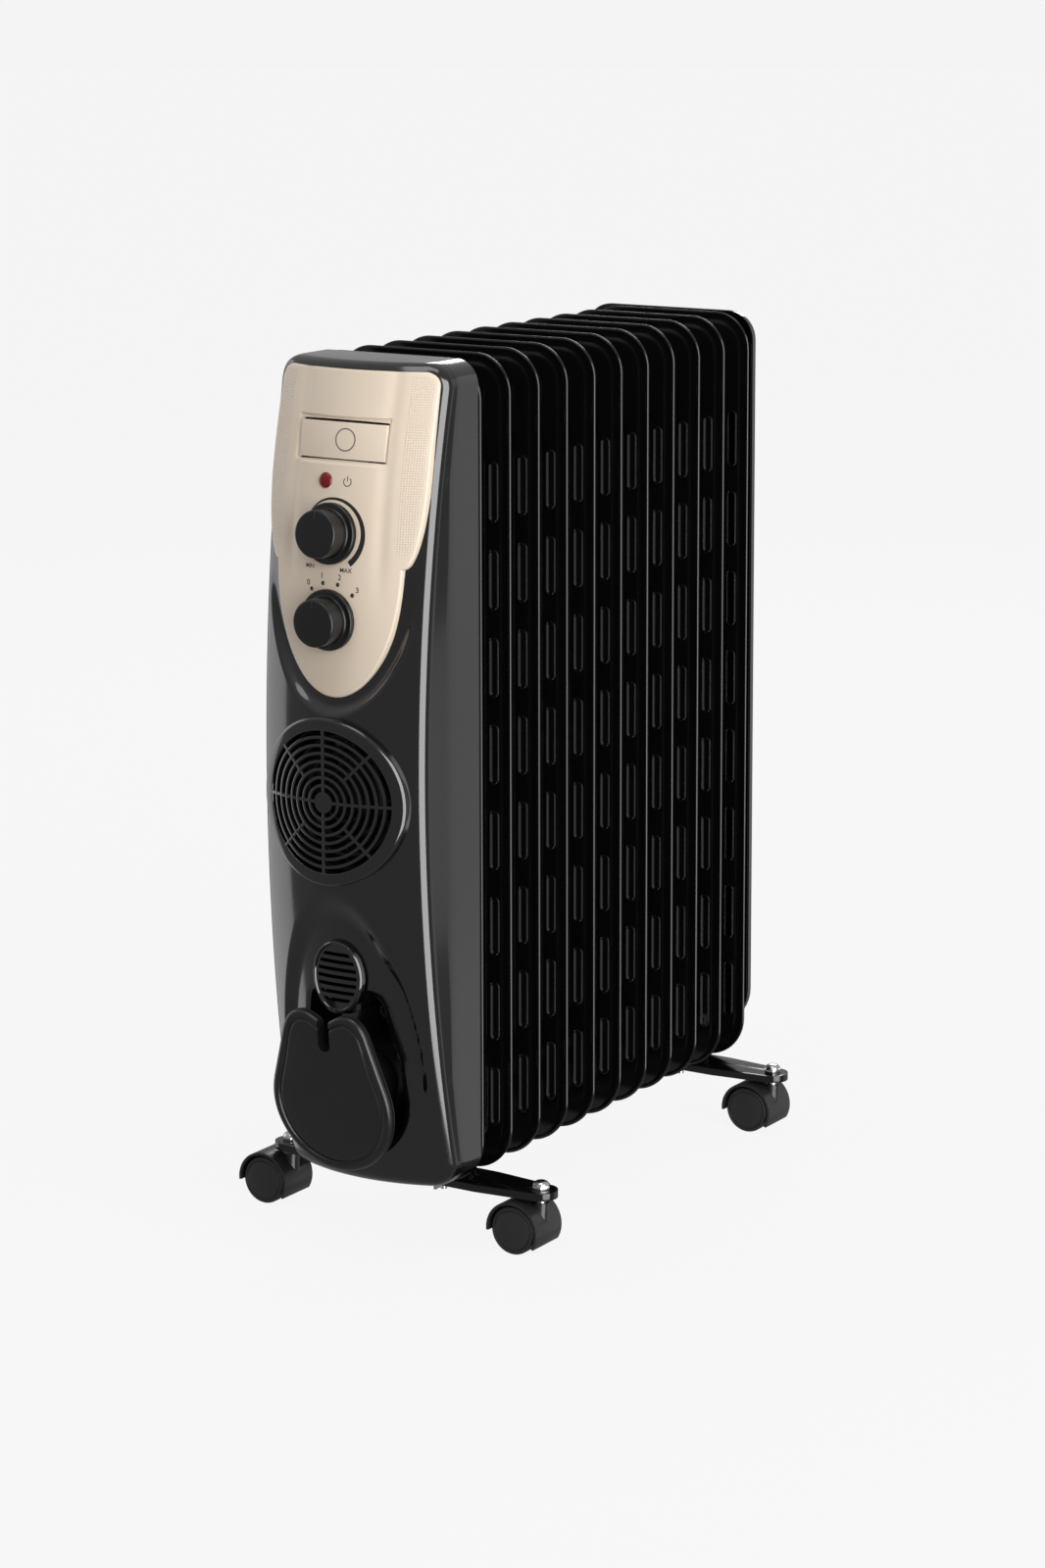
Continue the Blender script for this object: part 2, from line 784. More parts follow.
@dataclass(frozen=True)
class Finish:
    """A surface with its own large and fine relief. Lengths are in millimetres."""

    name: str
    base: str
    shade: str
    roughness: float
    spread: float
    metallic: float = 0.0
    coat: float = 0.0
    coat_roughness: float = 0.05
    wave_mm: float = 3.0
    wave_height: float = 0.004
    grain_mm: float = 0.4
    grain_height: float = 0.002
    patch_mm: float = 40.0

    def noise(self, tree: bpy.types.NodeTree, place: bpy.types.NodeSocket, size_mm: float,
              detail: float = 3.0) -> bpy.types.NodeSocket:
        """Adds noise whose features are about size_mm across."""
        return add_node(tree, "ShaderNodeTexNoise", None,
                        {"Vector": place, "Scale": 1000.0 / size_mm, "Detail": detail}).outputs["Fac"]

    def relief(self, tree: bpy.types.NodeTree, height: bpy.types.NodeSocket, depth_mm: float,
               below: bpy.types.NodeSocket | None = None) -> bpy.types.NodeSocket:
        """Adds a bump of a real depth over an earlier one."""
        inputs = {"Height": height, "Distance": depth_mm * MM, "Strength": 1.0}
        if below is not None:
            inputs["Normal"] = below
        return add_node(tree, "ShaderNodeBump", None, inputs).outputs[0]

    def extra(self, tree: bpy.types.NodeTree, place: bpy.types.NodeSocket,
              normal: bpy.types.NodeSocket) -> bpy.types.NodeSocket:
        """Gives a subclass its own relief over the shared one."""
        return normal

    def tint(self, tree: bpy.types.NodeTree, place: bpy.types.NodeSocket) -> bpy.types.NodeSocket:
        """Varies the colour slowly between the base and the shade."""
        patches = self.noise(tree, place, self.patch_mm, 2.0)
        mix = add_node(tree, "ShaderNodeMix", {"data_type": "RGBA"}, {"Factor": patches})
        mix.inputs[6].default_value = colour(self.base)
        mix.inputs[7].default_value = colour(self.shade)
        return mix.outputs[2]

    def build(self) -> bpy.types.Material:
        """Makes the material.

        Returns:
            A node material that reads Object coordinates only.
        """
        material = bpy.data.materials.new(self.name)
        material.use_nodes = True
        tree = material.node_tree
        tree.nodes.clear()
        place = add_node(tree, "ShaderNodeTexCoord").outputs["Object"]
        wave = self.relief(tree, self.noise(tree, place, self.wave_mm, 1.0), self.wave_height)
        grain = self.relief(tree, self.noise(tree, place, self.grain_mm), self.grain_height, wave)
        rough = add_node(tree, "ShaderNodeMapRange", None, {
            "Value": self.noise(tree, place, self.patch_mm / 3, 4.0), "From Min": 0.3, "From Max": 0.7,
            "To Min": self.roughness - self.spread, "To Max": self.roughness + self.spread})
        shader = add_node(tree, "ShaderNodeBsdfPrincipled", None, {
            "Base Color": self.tint(tree, place), "Roughness": rough.outputs[0], "Metallic": self.metallic,
            "Normal": self.extra(tree, place, grain)})
        if self.coat:
            shader.inputs["Coat Weight"].default_value = self.coat
            shader.inputs["Coat Roughness"].default_value = self.coat_roughness
        self.tune(shader)
        add_node(tree, "ShaderNodeOutputMaterial", None, {"Surface": shader.outputs[0]})
        return material

    def tune(self, shader: bpy.types.Node) -> None:
        """Lets a subclass set the shader's constant sockets."""


@dataclass(frozen=True)
class DottedPlastic(Finish):
    """Satin plastic with rows of small raised dots where the mesh's wing attribute is set."""

    pitch_mm: float = 1.7
    dot_height: float = 0.24

    def extra(self, tree: bpy.types.NodeTree, place: bpy.types.NodeSocket,
              normal: bpy.types.NodeSocket) -> bpy.types.NodeSocket:
        """Adds the dots."""
        scaled = add_node(tree, "ShaderNodeVectorMath", {"operation": "SCALE"},
                          {0: place, "Scale": 1000.0 / self.pitch_mm})
        cell = add_node(tree, "ShaderNodeVectorMath", {"operation": "FRACTION"}, {0: scaled.outputs[0]})
        middle = add_node(tree, "ShaderNodeVectorMath", {"operation": "SUBTRACT"},
                          {0: cell.outputs[0], 1: (0.5, 0.5, 0.5)})
        flat = add_node(tree, "ShaderNodeVectorMath", {"operation": "MULTIPLY"},
                        {0: middle.outputs[0], 1: (1.0, 0.0, 1.0)})
        reach = add_node(tree, "ShaderNodeVectorMath", {"operation": "LENGTH"}, {0: flat.outputs[0]})
        dot = add_node(tree, "ShaderNodeMapRange", {"interpolation_type": "SMOOTHSTEP"}, {
            "Value": reach.outputs["Value"], "From Min": 0.18, "From Max": 0.40, "To Min": 1.0, "To Max": 0.0})
        wing = add_node(tree, "ShaderNodeAttribute", {"attribute_name": "wing"})
        mask = add_node(tree, "ShaderNodeMath", {"operation": "MULTIPLY"},
                        {0: dot.outputs[0], 1: wing.outputs["Fac"]})
        return self.relief(tree, mask.outputs[0], self.dot_height, normal)


@dataclass(frozen=True)
class Spangled(Finish):
    """Hot-dip galvanised sheet, whose zinc has set in pale and dark flakes."""

    flake_mm: float = 7.0

    def tint(self, tree: bpy.types.NodeTree, place: bpy.types.NodeSocket) -> bpy.types.NodeSocket:
        """Gives each flake its own grey."""
        flakes = add_node(tree, "ShaderNodeTexVoronoi", {"feature": "F1"},
                          {"Vector": place, "Scale": 1000.0 / self.flake_mm})
        grey = add_node(tree, "ShaderNodeSeparateColor", None, {0: flakes.outputs["Color"]})
        mix = add_node(tree, "ShaderNodeMix", {"data_type": "RGBA"}, {"Factor": grey.outputs[0]})
        mix.inputs[6].default_value = colour(self.base)
        mix.inputs[7].default_value = colour(self.shade)
        return mix.outputs[2]


@dataclass(frozen=True)
class Tinted(Finish):
    """Clear coloured plastic that glows a little from within."""

    def tune(self, shader: bpy.types.Node) -> None:
        """Lets some light through."""
        shader.inputs["Transmission Weight"].default_value = 0.35
        shader.inputs["IOR"].default_value = 1.49
        shader.inputs["Emission Color"].default_value = colour(self.base)
        shader.inputs["Emission Strength"].default_value = 0.04


FINISHES: dict[Slot, Finish] = {
    # Polished black ABS: mirror-like, with a faint slow ripple from the mould.
    Slot.COVER: Finish("polished_black_abs", "#08080a", "#0b0b0c", 0.13, 0.02, coat=0.6, coat_roughness=0.08,
                       wave_mm=14.0, wave_height=0.004, grain_mm=0.6, grain_height=0.0006),
    # Champagne metallic paint on ABS: satin, warm, with rows of dots on the wings.
    Slot.PANEL: DottedPlastic("champagne_satin_paint", "#d9c8b4", "#dccdbb", 0.34, 0.03, wave_mm=9.0,
                              wave_height=0.003, grain_mm=0.25, grain_height=0.003),
    # The same paint without dots.
    Slot.ROCKER: Finish("champagne_satin_button", "#dccbb8", "#dfd0be", 0.32, 0.03, grain_mm=0.25,
                        grain_height=0.003),
    # Stoved black enamel over pressed steel: deep gloss with orange peel.
    Slot.ENAMEL: Finish("stoved_black_enamel", "#070708", "#0a0a0b", 0.16, 0.04, wave_mm=2.6, wave_height=0.012,
                        grain_mm=0.5, grain_height=0.001),
    # Satin black ABS with a fine spark-eroded grain.
    Slot.SATIN: Finish("satin_black_abs", "#101011", "#141415", 0.34, 0.04, grain_mm=0.35, grain_height=0.005),
    # Black nylon: a soft sheen that shows the hoods' curve.
    Slot.CASTER: Finish("black_nylon_hood", "#1b1b1c", "#202021", 0.34, 0.05, grain_mm=0.3, grain_height=0.005),
    # Hard rubbed tread plastic, greyer and duller than the hoods.
    Slot.TREAD: Finish("hard_caster_tread", "#1c1c1d", "#242425", 0.5, 0.07, wave_mm=1.2, wave_height=0.008,
                       grain_mm=0.25, grain_height=0.01, patch_mm=12.0),
    # Clear red polycarbonate lens.
    Slot.LENS: Tinted("red_pilot_lens", "#860f15", "#780c12", 0.1, 0.02, wave_mm=1.0, wave_height=0.002),
    # Bright zinc plate: a clear grey metal with faint turning marks.
    Slot.ZINC: Finish("bright_zinc_plate", "#c9cbcd", "#b9bcc0", 0.2, 0.05, metallic=1.0, wave_mm=0.8,
                      wave_height=0.002, grain_mm=0.2, grain_height=0.002, patch_mm=8.0),
    # Galvanised steel sheet with its flakes.
    Slot.SHEET: Spangled("galvanised_steel_sheet", "#a9adb1", "#8d9297", 0.38, 0.06, metallic=1.0, grain_mm=0.5,
                         grain_height=0.003, patch_mm=20.0),
    # Sheathed heating element: bead-blasted stainless steel, straw-coloured by heat.
    Slot.ELEMENT: Finish("heat_tinted_stainless", "#4a4541", "#383431", 0.5, 0.06, metallic=1.0, grain_mm=0.2,
                         grain_height=0.004, patch_mm=14.0),
    # Turned brass.
    Slot.BRASS: Finish("turned_brass", "#b08d57", "#a27f49", 0.3, 0.05, metallic=1.0, wave_mm=0.7,
                       wave_height=0.003, patch_mm=10.0),
    # Unpolished black polypropylene, dull and slightly grey.
    Slot.INNER: Finish("dull_black_polypropylene", "#141415", "#19191a", 0.55, 0.05, grain_mm=0.4,
                       grain_height=0.008),
    # Steatite ceramic and phenolic bodies: matt cream, with a sandy surface.
    Slot.CERAMIC: Finish("matt_steatite", "#cfc8b8", "#c2baa8", 0.62, 0.06, grain_mm=0.5, grain_height=0.012,
                         patch_mm=6.0),
}

# Screen-printed dark grey ink, slightly duller than the paint under it.
INK = Finish("printed_dark_ink", "#1d1b1a", "#242120", 0.45, 0.03, grain_mm=0.3, grain_height=0.002)
# Dark ring pressed into the rocker, filled with warm grey paint.
RING_PAINT = Finish("warm_grey_ring_paint", "#5b5048", "#655950", 0.4, 0.03, grain_mm=0.3, grain_height=0.002)
# Moulded black knob: nearly black, with a soft sheen down its side.
KNOB_BLACK = Finish("moulded_black_knob", "#060607", "#09090a", 0.36, 0.03, wave_mm=5.0, wave_height=0.003,
                    grain_mm=0.3, grain_height=0.002)
# The knobs' raised pointer rib, a little more polished than the grip round it.
RIB_BLACK = Finish("polished_black_rib", "#1b1b1c", "#202021", 0.22, 0.03, grain_mm=0.3, grain_height=0.001)


class Wardrobe:
    """Builds each finish once and hands it out."""

    def __init__(self) -> None:
        """Starts with nothing built."""
        self.built: dict[str, bpy.types.Material] = {}

    def get(self, finish: Slot | Finish) -> bpy.types.Material:
        """Gives the material of a slot or a finish."""
        chosen = FINISHES[finish] if isinstance(finish, Slot) else finish
        if chosen.name not in self.built:
            self.built[chosen.name] = chosen.build()
        return self.built[chosen.name]


WARDROBE = Wardrobe()


def finished(item: bpy.types.Object, name: str, body: str, slot: Slot, *nodes: str) -> bpy.types.Object:
    """Names a piece, sets its body and slot, and lets it stand for CAD nodes.

    Args:
        item: the piece.
        name: its final name.
        body: the body it rides on.
        slot: the record's material slot.
        nodes: the CAD nodes it replaces.

    Returns:
        The same piece.
    """
    item.name = name
    item.data.name = name
    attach(item, body)
    if nodes:
        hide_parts(*nodes)
    LOG.info("%s: %d faces on %s", name, len(item.data.polygons), body)
    return item


def joined(name: str, parts: Sequence[bpy.types.Object], angle: float = 32.0) -> bpy.types.Object:
    """Puts several meshes into one object and removes them.

    Args:
        name: the new object's name.
        parts: the objects to gather, each with one material.
        angle: the shading angle, in degrees.

    Returns:
        The new object.
    """
    build = bmesh.new()
    materials: list[bpy.types.Material] = []
    for part in parts:
        material = part.data.materials[0] if part.data.materials else None
        if material is not None and material not in materials:
            materials.append(material)
        number = materials.index(material) if material is not None else 0
        before = len(build.faces)
        build.from_mesh(part.data)
        build.faces.ensure_lookup_table()
        for face in build.faces[before:]:
            face.material_index = number
    mesh = bpy.data.meshes.new(name)
    build.to_mesh(mesh)
    build.free()
    for material in materials:
        mesh.materials.append(material)
    item = bpy.data.objects.new(name, mesh)
    bpy.context.scene.collection.objects.link(item)
    for part in parts:
        discard(part)
    shade(item, angle)
    return item


class Presser:
    """Lays flat shapes on the front of a piece, along Y."""

    def __init__(self, target: bpy.types.Object) -> None:
        """Keeps a search tree of the piece's surface."""
        from mathutils.bvhtree import BVHTree
        build = bmesh.new()
        build.from_mesh(target.data)
        self.tree = BVHTree.FromBMesh(build)
        build.free()

    def depth(self, x: float, z: float) -> float:
        """Gives the surface's Y in front of a point, in script millimetres."""
        start = Vector(DATUM.metres([x, -400.0, z]).tolist())
        hit = self.tree.ray_cast(start, Vector((0.0, 1.0, 0.0)))[0]
        return float(DATUM.millimetres(hit)[1]) if hit is not None else 0.0

    def strip(self, name: str, rows: Sequence[Sequence[tuple[float, float]]], material: bpy.types.Material,
              lift: float = 0.06) -> bpy.types.Object:
        """Lays a closed thin strip on the surface.

        Args:
            name: the object's name.
            rows: rows of (x, z) points, each of the same length.
            material: the surface it takes.
            lift: how proud it stands, in millimetres.

        Returns:
            The new object.
        """
        flat = np.array(rows, float)
        y = np.array([[self.depth(x, z) for x, z in row] for row in flat])
        front = np.stack([flat[..., 0], y - lift, flat[..., 1]], -1)
        back = np.stack([flat[..., 0], y + lift, flat[..., 1]], -1)
        return slab_pair(name, front, back, material, 60.0)

    def text(self, name: str, words: str, x: float, z: float, height: float,
             material: bpy.types.Material) -> bpy.types.Object:
        """Lays a numeral on the surface.

        Args:
            name: the object's name.
            words: what it says.
            x: its middle.
            z: its middle's height.
            height: the size of the type, in millimetres.
            material: the surface it takes.

        Returns:
            The new object, as a mesh.
        """
        curve = bpy.data.curves.new(name, "FONT")
        curve.body = words
        curve.size = height
        curve.extrude = 0.06
        curve.offset = 0.012 * height
        curve.align_x = "CENTER"
        curve.align_y = "CENTER"
        writing = bpy.data.objects.new(name, curve)
        bpy.context.scene.collection.objects.link(writing)
        bpy.context.view_layer.update()
        mesh = bpy.data.meshes.new_from_object(writing.evaluated_get(bpy.context.evaluated_depsgraph_get()))
        flat = np.array([v.co[:] for v in mesh.vertices])
        faces = [list(p.vertices) for p in mesh.polygons]
        bpy.data.objects.remove(writing)
        bpy.data.curves.remove(curve)
        bpy.data.meshes.remove(mesh)
        y = np.array([self.depth(x + p[0], z + p[1]) for p in flat])
        return new_object(name, np.stack([x + flat[:, 0], y - flat[:, 2], z + flat[:, 1]], -1), faces, material, 60.0)


# ------------------------------------------------------------------ the front


def disc_hull(discs: Sequence[tuple[float, float, float]], steps: int = 120) -> Outline:
    """The outline round several discs.

    Args:
        discs: (x, z, radius) of each.
        steps: points in the outline.

    Returns:
        The convex outline, from the support function.
    """
    outline = []
    for angle in np.linspace(-math.pi / 2, 1.5 * math.pi, steps, endpoint=False):
        dx, dz = math.cos(angle), math.sin(angle)
        cx, cz, radius = max(discs, key=lambda d: d[0] * dx + d[1] * dz + d[2])
        outline.append((cx + radius * dx, cz + radius * dz))
    return outline


def inside_hull(x: Points, z: Points, a: tuple[float, float, float], b: tuple[float, float, float]) -> Points:
    """Says which points lie inside the hull of two discs."""
    t = np.linspace(0, 1, 60)[:, None]
    cx, cz, radius = (a[k] + t * (b[k] - a[k]) for k in range(3))
    return (np.hypot(x[None, :] - cx, z[None, :] - cz) <= radius).any(axis=0)


@dataclass
class FrontCover:
    """The glossy moulded housing in front of the first fin."""

    form: FrontForm
    panel: PanelForm
    vent_z: float = 207.0
    vent_half: tuple[float, float] = (20.5, 25.5)
    grille_z: float = 333.5
    grille_hole: float = 53.0
    well_discs: tuple[tuple[float, float, float], ...] = ((0.0, 118.0, 43.5), (-20.0, 184.0, 11.0), (20.0, 184.0, 11.0))
    well_floor: float = 38.0
    scoop_centre: float = 120.0
    scoop_half: float = 60.0
    scoop_height: float = 150.0
    scoop_depth: float = 6.0
    gutter_depth: float = 6.0
    gutter_width: float = 13.0
    columns: int = 104
    row_step: float = 1.5

    def relief(self, x: Points, z: Points) -> Points:
        """How far the moulding's hollows lie behind the plain curve.

        Args:
            x: places across the front.
            z: heights.

        Returns:
            The depths, in millimetres.
        """
        reach = np.hypot(x / self.scoop_half, (z - self.scoop_centre) / self.scoop_height)
        edge = (1 - reach) * self.scoop_half
        step = 9.5 - 6.0 * (1 - ramp(z, 196.0, 232.0)) * ramp(x, 20.0, 44.0)
        scoop = self.scoop_depth * smooth(edge / step) * ramp(z, 118.0, 150.0)
        from_panel = -inside_distance(x, z, self.panel.outline(0.0))
        gutter = self.gutter_depth * (1 - smooth((from_panel - 5.0) / (self.gutter_width - 5.0)))
        gutter *= 1 - ramp(z, 430.0, 492.0)
        lip = 1.4 * (1 - smooth(-inside_distance(x, z, disc_hull(self.well_discs)) / 2.6))
        return scoop + gutter + lip

    def ring(self, z: float, inset: float, hollow: bool) -> Points:
        """One closed section of the housing.

        Args:
            z: its height.
            inset: how far inside the outer skin it lies.
            hollow: True for the inner skin, which runs out through the back.

        Returns:
            The section's points.
        """
        f = self.form
        d = max(0.0, min(z - f.bottom, f.top - z))
        side_in = f.corner_r - math.sqrt(max(0.0, f.corner_r**2 - max(0.0, f.corner_r - d) ** 2))
        nose_in = f.nose_r - math.sqrt(max(0.0, f.nose_r**2 - max(0.0, f.nose_r - d) ** 2))
        side = f.rear_half - side_in - inset
        a = f.half(z) - side_in - inset
        turn = math.radians(f.fillet_turn)
        fillet = f.fillet_r - min(inset, 4.0) * 0.5
        tx = a - fillet + fillet * math.cos(turn)
        cc = f.front(tx, z) - nose_in - inset - fillet * math.sin(turn)
        crease = (min(a + f.crease_out, side), min(f.crease_depth, cc - 4))
        rear = -4.0 if hollow else f.rear
        half = [(side + (crease[0] - side) * t, rear + (crease[1] - rear) * t) for t in np.linspace(0, 0.96, 7)]
        half += [(crease[0] + (a - crease[0]) * t, crease[1] + (cc - crease[1]) * t) for t in np.linspace(0.08, 0.92, 7)]
        half += [(a - fillet + fillet * math.cos(t), cc + fillet * math.sin(t)) for t in np.linspace(0, turn, 14)]
        xs = np.linspace(tx, -tx, self.columns)[1:-1]
        middle = [(x, f.front(x, z) - nose_in - inset) for x in xs]
        section = half + middle + [(-x, c) for x, c in reversed(half)]
        return np.array([(x, -c, z) for x, c in section])

    def heights(self, step: float, inset: float) -> list[float]:
        """Heights of the sections, closer together at the rounded ends."""
        f = self.form
        low, high = f.bottom + inset, f.top - inset
        rise = [f.corner_r * (1 - math.cos(a)) for a in np.linspace(0, math.pi / 2, 15)]
        middle = np.linspace(low + f.corner_r, high - f.corner_r, int((high - low) / step))[1:-1]
        return [low + r for r in rise] + middle.tolist() + [high - r for r in reversed(rise)]

    def build(self) -> None:
        """Makes the housing."""
        gloss = WARDROBE.get(Slot.COVER)
        rings = np.array([self.ring(z, 0.0, False) for z in self.heights(self.row_step, 0.0)])
        front = -rings[..., 1] > self.form.crease_depth + 8
        fade = smooth((-rings[..., 1] - self.form.crease_depth - 8) / 10)
        rings[..., 1] += np.where(front, self.relief(rings[..., 0], rings[..., 2]) * fade, 0.0)
        skin = stack("cover_skin", list(rings), gloss)
        self.columns = 24
        hollow = stack("cover_hollow", [self.ring(z, self.form.wall, True)
                                        for z in self.heights(16.0, self.form.wall)])
        grown = disc_hull([(x, z, r + self.form.wall) for x, z, r in self.well_discs])
        combine(hollow, [prism("well_liner", grown, -140.0, -(self.well_floor - self.form.wall))])
        back_of = self.deepen()
        combine(hollow, [back_of])
        combine(skin, [hollow])
        well = prism("well_room", disc_hull(self.well_discs), -140.0, -self.well_floor)
        combine(well, [prism("vent_land", ellipse(self.vent_z, self.vent_half[0] + 3, self.vent_half[1] + 3),
                             -150.0, -20.0)])
        cutters = [
            well,
            prism("panel_hole", self.panel.outline(self.panel.gap), -140.0, -20.0),
            prism("vent_hole", ellipse(self.vent_z, self.vent_half[0] - 2.2, self.vent_half[1] - 2.2), -140.0, -20.0),
            prism("grille_hole", arc(0.0, self.grille_z, self.grille_hole, 0, 360 * 119 / 120, 119), -140.0, -20.0),
        ]
        combine(skin, cutters, angle=58.0)
        finished(skin, "cover", "root", Slot.COVER, "front_cover")

    def deepen(self) -> bpy.types.Object:
        """Keeps a wall behind the scoop and the gutter, whose hollows reach past the plain wall."""
        x, z = np.meshgrid(np.linspace(-62.0, 62.0, 32), np.linspace(100.0, 500.0, 60))
        plain = self.form.front(x, z)
        deepest = self.scoop_depth + self.form.wall + 1.5
        front = np.stack([x, -plain - 1.0, z], -1)
        back = np.stack([x, deepest - plain, z], -1)
        return slab_pair("wall_behind", front, back)


@dataclass
class ControlPanel:
    """The champagne panel with its grooves, dotted wings and printed marks."""

    panel: PanelForm
    edge_r: float = 1.4
    groove_x: float = 37.0
    groove_half: float = 5.0
    groove_depth: float = 1.05
    wing_x: float = 47.6
    skirt: float = 5.0
    rocker_half: tuple[float, float] = (35.7, 13.9)
    frame_width: float = 1.7
    frame_side: float = 4.8
    frame_foot: float = 3.2
    frame_depth: float = 1.9

    def relief(self, x: Points, z: Points, outline: Outline) -> Points:
        """How far the face lies behind the plain curve."""
        edge = np.clip(inside_distance(x, z, outline), 0.0, self.edge_r)
        drop = self.edge_r - np.sqrt(np.maximum(0.0, self.edge_r**2 - (self.edge_r - edge) ** 2))
        groove = self.groove_depth * np.exp(-(((np.abs(x) - self.groove_x) / self.groove_half) ** 2))
        left = np.where(x < 0, self.frame_side, self.frame_width)
        below = np.where(z < self.panel.rocker_z, self.frame_foot, self.frame_width)
        out_x = np.maximum(np.abs(x) - self.rocker_half[0], 0.0) / left
        out_z = np.maximum(np.abs(z - self.panel.rocker_z) - self.rocker_half[1], 0.0) / below
        frame_drop = self.frame_depth * (1 - smooth((np.hypot(out_x, out_z) - 0.45) / 0.55))
        return drop + np.maximum(groove * ramp(z, 462.0, 512.0), frame_drop)

    def body(self) -> bpy.types.Object:
        """Makes the panel with its holes.

        Returns:
            The panel, before it rides on anything.
        """
        p = self.panel
        rounds = [self.edge_r * (1 - math.cos(a)) for a in np.linspace(0, math.pi / 2, 6)][:-1]
        levels = p.levels(3.0)
        for side in (-1, 1):
            edge = p.rocker_z + side * self.rocker_half[1]
            levels = [z for z in levels if not edge - 4.2 < z < edge + 4.2]
            levels += np.arange(edge - 4.0, edge + 4.1, 0.8).tolist()
        levels.sort()
        rows = []
        for z in levels:
            half = p.half(z)
            scale = min(1.0, half / (3 * self.edge_r))
            inner = np.linspace(-half + self.edge_r * scale, half - self.edge_r * scale, 150)
            row = [-half + e * scale for e in rounds] + inner.tolist() + [half - e * scale for e in reversed(rounds)]
            rows.append([(x, z) for x in row])
        flat = np.array(rows)
        x, z = flat[..., 0], flat[..., 1]
        outline = mirrored([(p.half(level) + 1e-4, level) for level in levels])
        depth = p.surface(x, z) - self.relief(x, z, outline)
        near = 1 - smooth((inside_distance(x, z, outline) - 2.2) / 0.8)
        front = np.stack([x, -depth, z], -1)
        back = np.stack([x, -p.surface(x, z) + p.thickness + self.skirt * near, z], -1)
        item = slab_pair("control_panel_look", front, back, WARDROBE.get(Slot.PANEL))
        return item

    def cut(self, item: bpy.types.Object) -> bpy.types.Object:
        """Cuts the rocker's, pilot's and shafts' openings."""
        p = self.panel
        stand = Stand.on_panel(p, 0.0, p.rocker_z)
        half_x, half_z = self.rocker_half
        corner = 1.2
        shape = mirrored(arc(half_x - corner, -half_z + corner, corner, -90, 0, 8)
                         + arc(half_x - corner, half_z - corner, corner, 0, 90, 8))
        rocker = stack("rocker_hole", [stand.points(np.array([(u, v, w) for u, v in shape])) for w in (20.0, -30.0)])
        cutters = [rocker]
        for x, z, radius in ((*p.pilot, 5.5), (0.0, p.thermostat_z, 4.0), (0.0, p.selector_z, 4.0)):
            cutters.append(lathe("round_hole", [(0.0, 12.0), (radius, 12.0), (radius, -16.0), (0.0, -16.0)],
                                 Stand.on_panel(p, x, z), None, 48))
        return combine(item, cutters, angle=34.0)

    def mark_wings(self, item: bpy.types.Object) -> None:
        """Marks where the dots go, with a plain margin round the edge."""
        p = self.panel
        outline = mirrored([(p.half(z), z) for z in p.levels(6.0)])
        places = DATUM.millimetres(np.zeros(3)) * 0 + np.array([DATUM.millimetres(v.co) for v in item.data.vertices])
        x, z = places[:, 0], places[:, 2]
        edge = inside_distance(x, z, outline)
        wing = ramp(np.abs(x), self.wing_x - 0.6, self.wing_x + 0.6) * ramp(edge, 2.2, 3.2) * ramp(z, 500.0, 512.0)
        layer = item.data.attributes.new("wing", "FLOAT", "POINT")
        layer.data.foreach_set("value", wing.astype(np.float32))

    def marks(self, item: bpy.types.Object) -> bpy.types.Object:
        """Prints the thermostat's wedge, the selector's dots and numerals, and the power sign."""
        p, ink = self.panel, WARDROBE.get(INK)
        press = Presser(item)
        parts = []
        rows = []
        for t in np.linspace(0, 1, 90):
            angle = math.radians(-140 + 283 * t)
            outer = 23.6 + 3.3 * max(0.0, (t - 0.28) / 0.72)
            rows.append([(r * math.sin(angle), p.thermostat_z + r * math.cos(angle))
                         for r in np.linspace(22.8, outer, 4)])
        parts.append(press.strip("wedge", rows, ink))
        for k, angle in enumerate((-38.0, -13.0, 15.0, 45.0)):
            sx, cz = math.sin(math.radians(angle)), math.cos(math.radians(angle))
            middle = (25.3 * sx, p.selector_z + 25.3 * cz)
            turn = np.linspace(0, 2 * math.pi, 25)
            parts.append(press.strip(f"dot_{k}", [[(middle[0] + r * math.cos(a), middle[1] + r * math.sin(a))
                                                   for a in turn[:-1]] for r in (0.05, 0.8, 1.5)], ink))
            parts.append(press.text(f"numeral_{k}", str(k), 30.4 * sx, p.selector_z + 30.4 * cz, 5.4, ink))
        parts.append(press.text("low_end", "MIN", -17.5, 495.0, 4.3, ink))
        parts.append(press.text("high_end", "MAX", 12.5, 494.0, 4.3, ink))
        sign = (10.0, 554.0)
        parts.append(press.strip("power_arc", [[(sign[0] + r * math.sin(a), sign[1] + r * math.cos(a))
                                                for r in (2.6, 3.2)] for a in np.radians(np.linspace(38, 322, 40))], ink))
        parts.append(press.strip("power_bar", [[(sign[0] + dx, sign[1] + dz) for dx in (-0.3, 0.3)]
                                               for dz in np.linspace(0.4, 3.9, 6)], ink))
        return joined("panel_marks_look", parts, 60.0)

    def build(self) -> None:
        """Makes the panel and its marks."""
        item = self.cut(self.body())
        marks = self.marks(item)
        self.mark_wings(item)
        finished(item, "panel", "root", Slot.PANEL, "control_panel")
        finished(marks, "panel_marks", "root", Slot.PANEL)


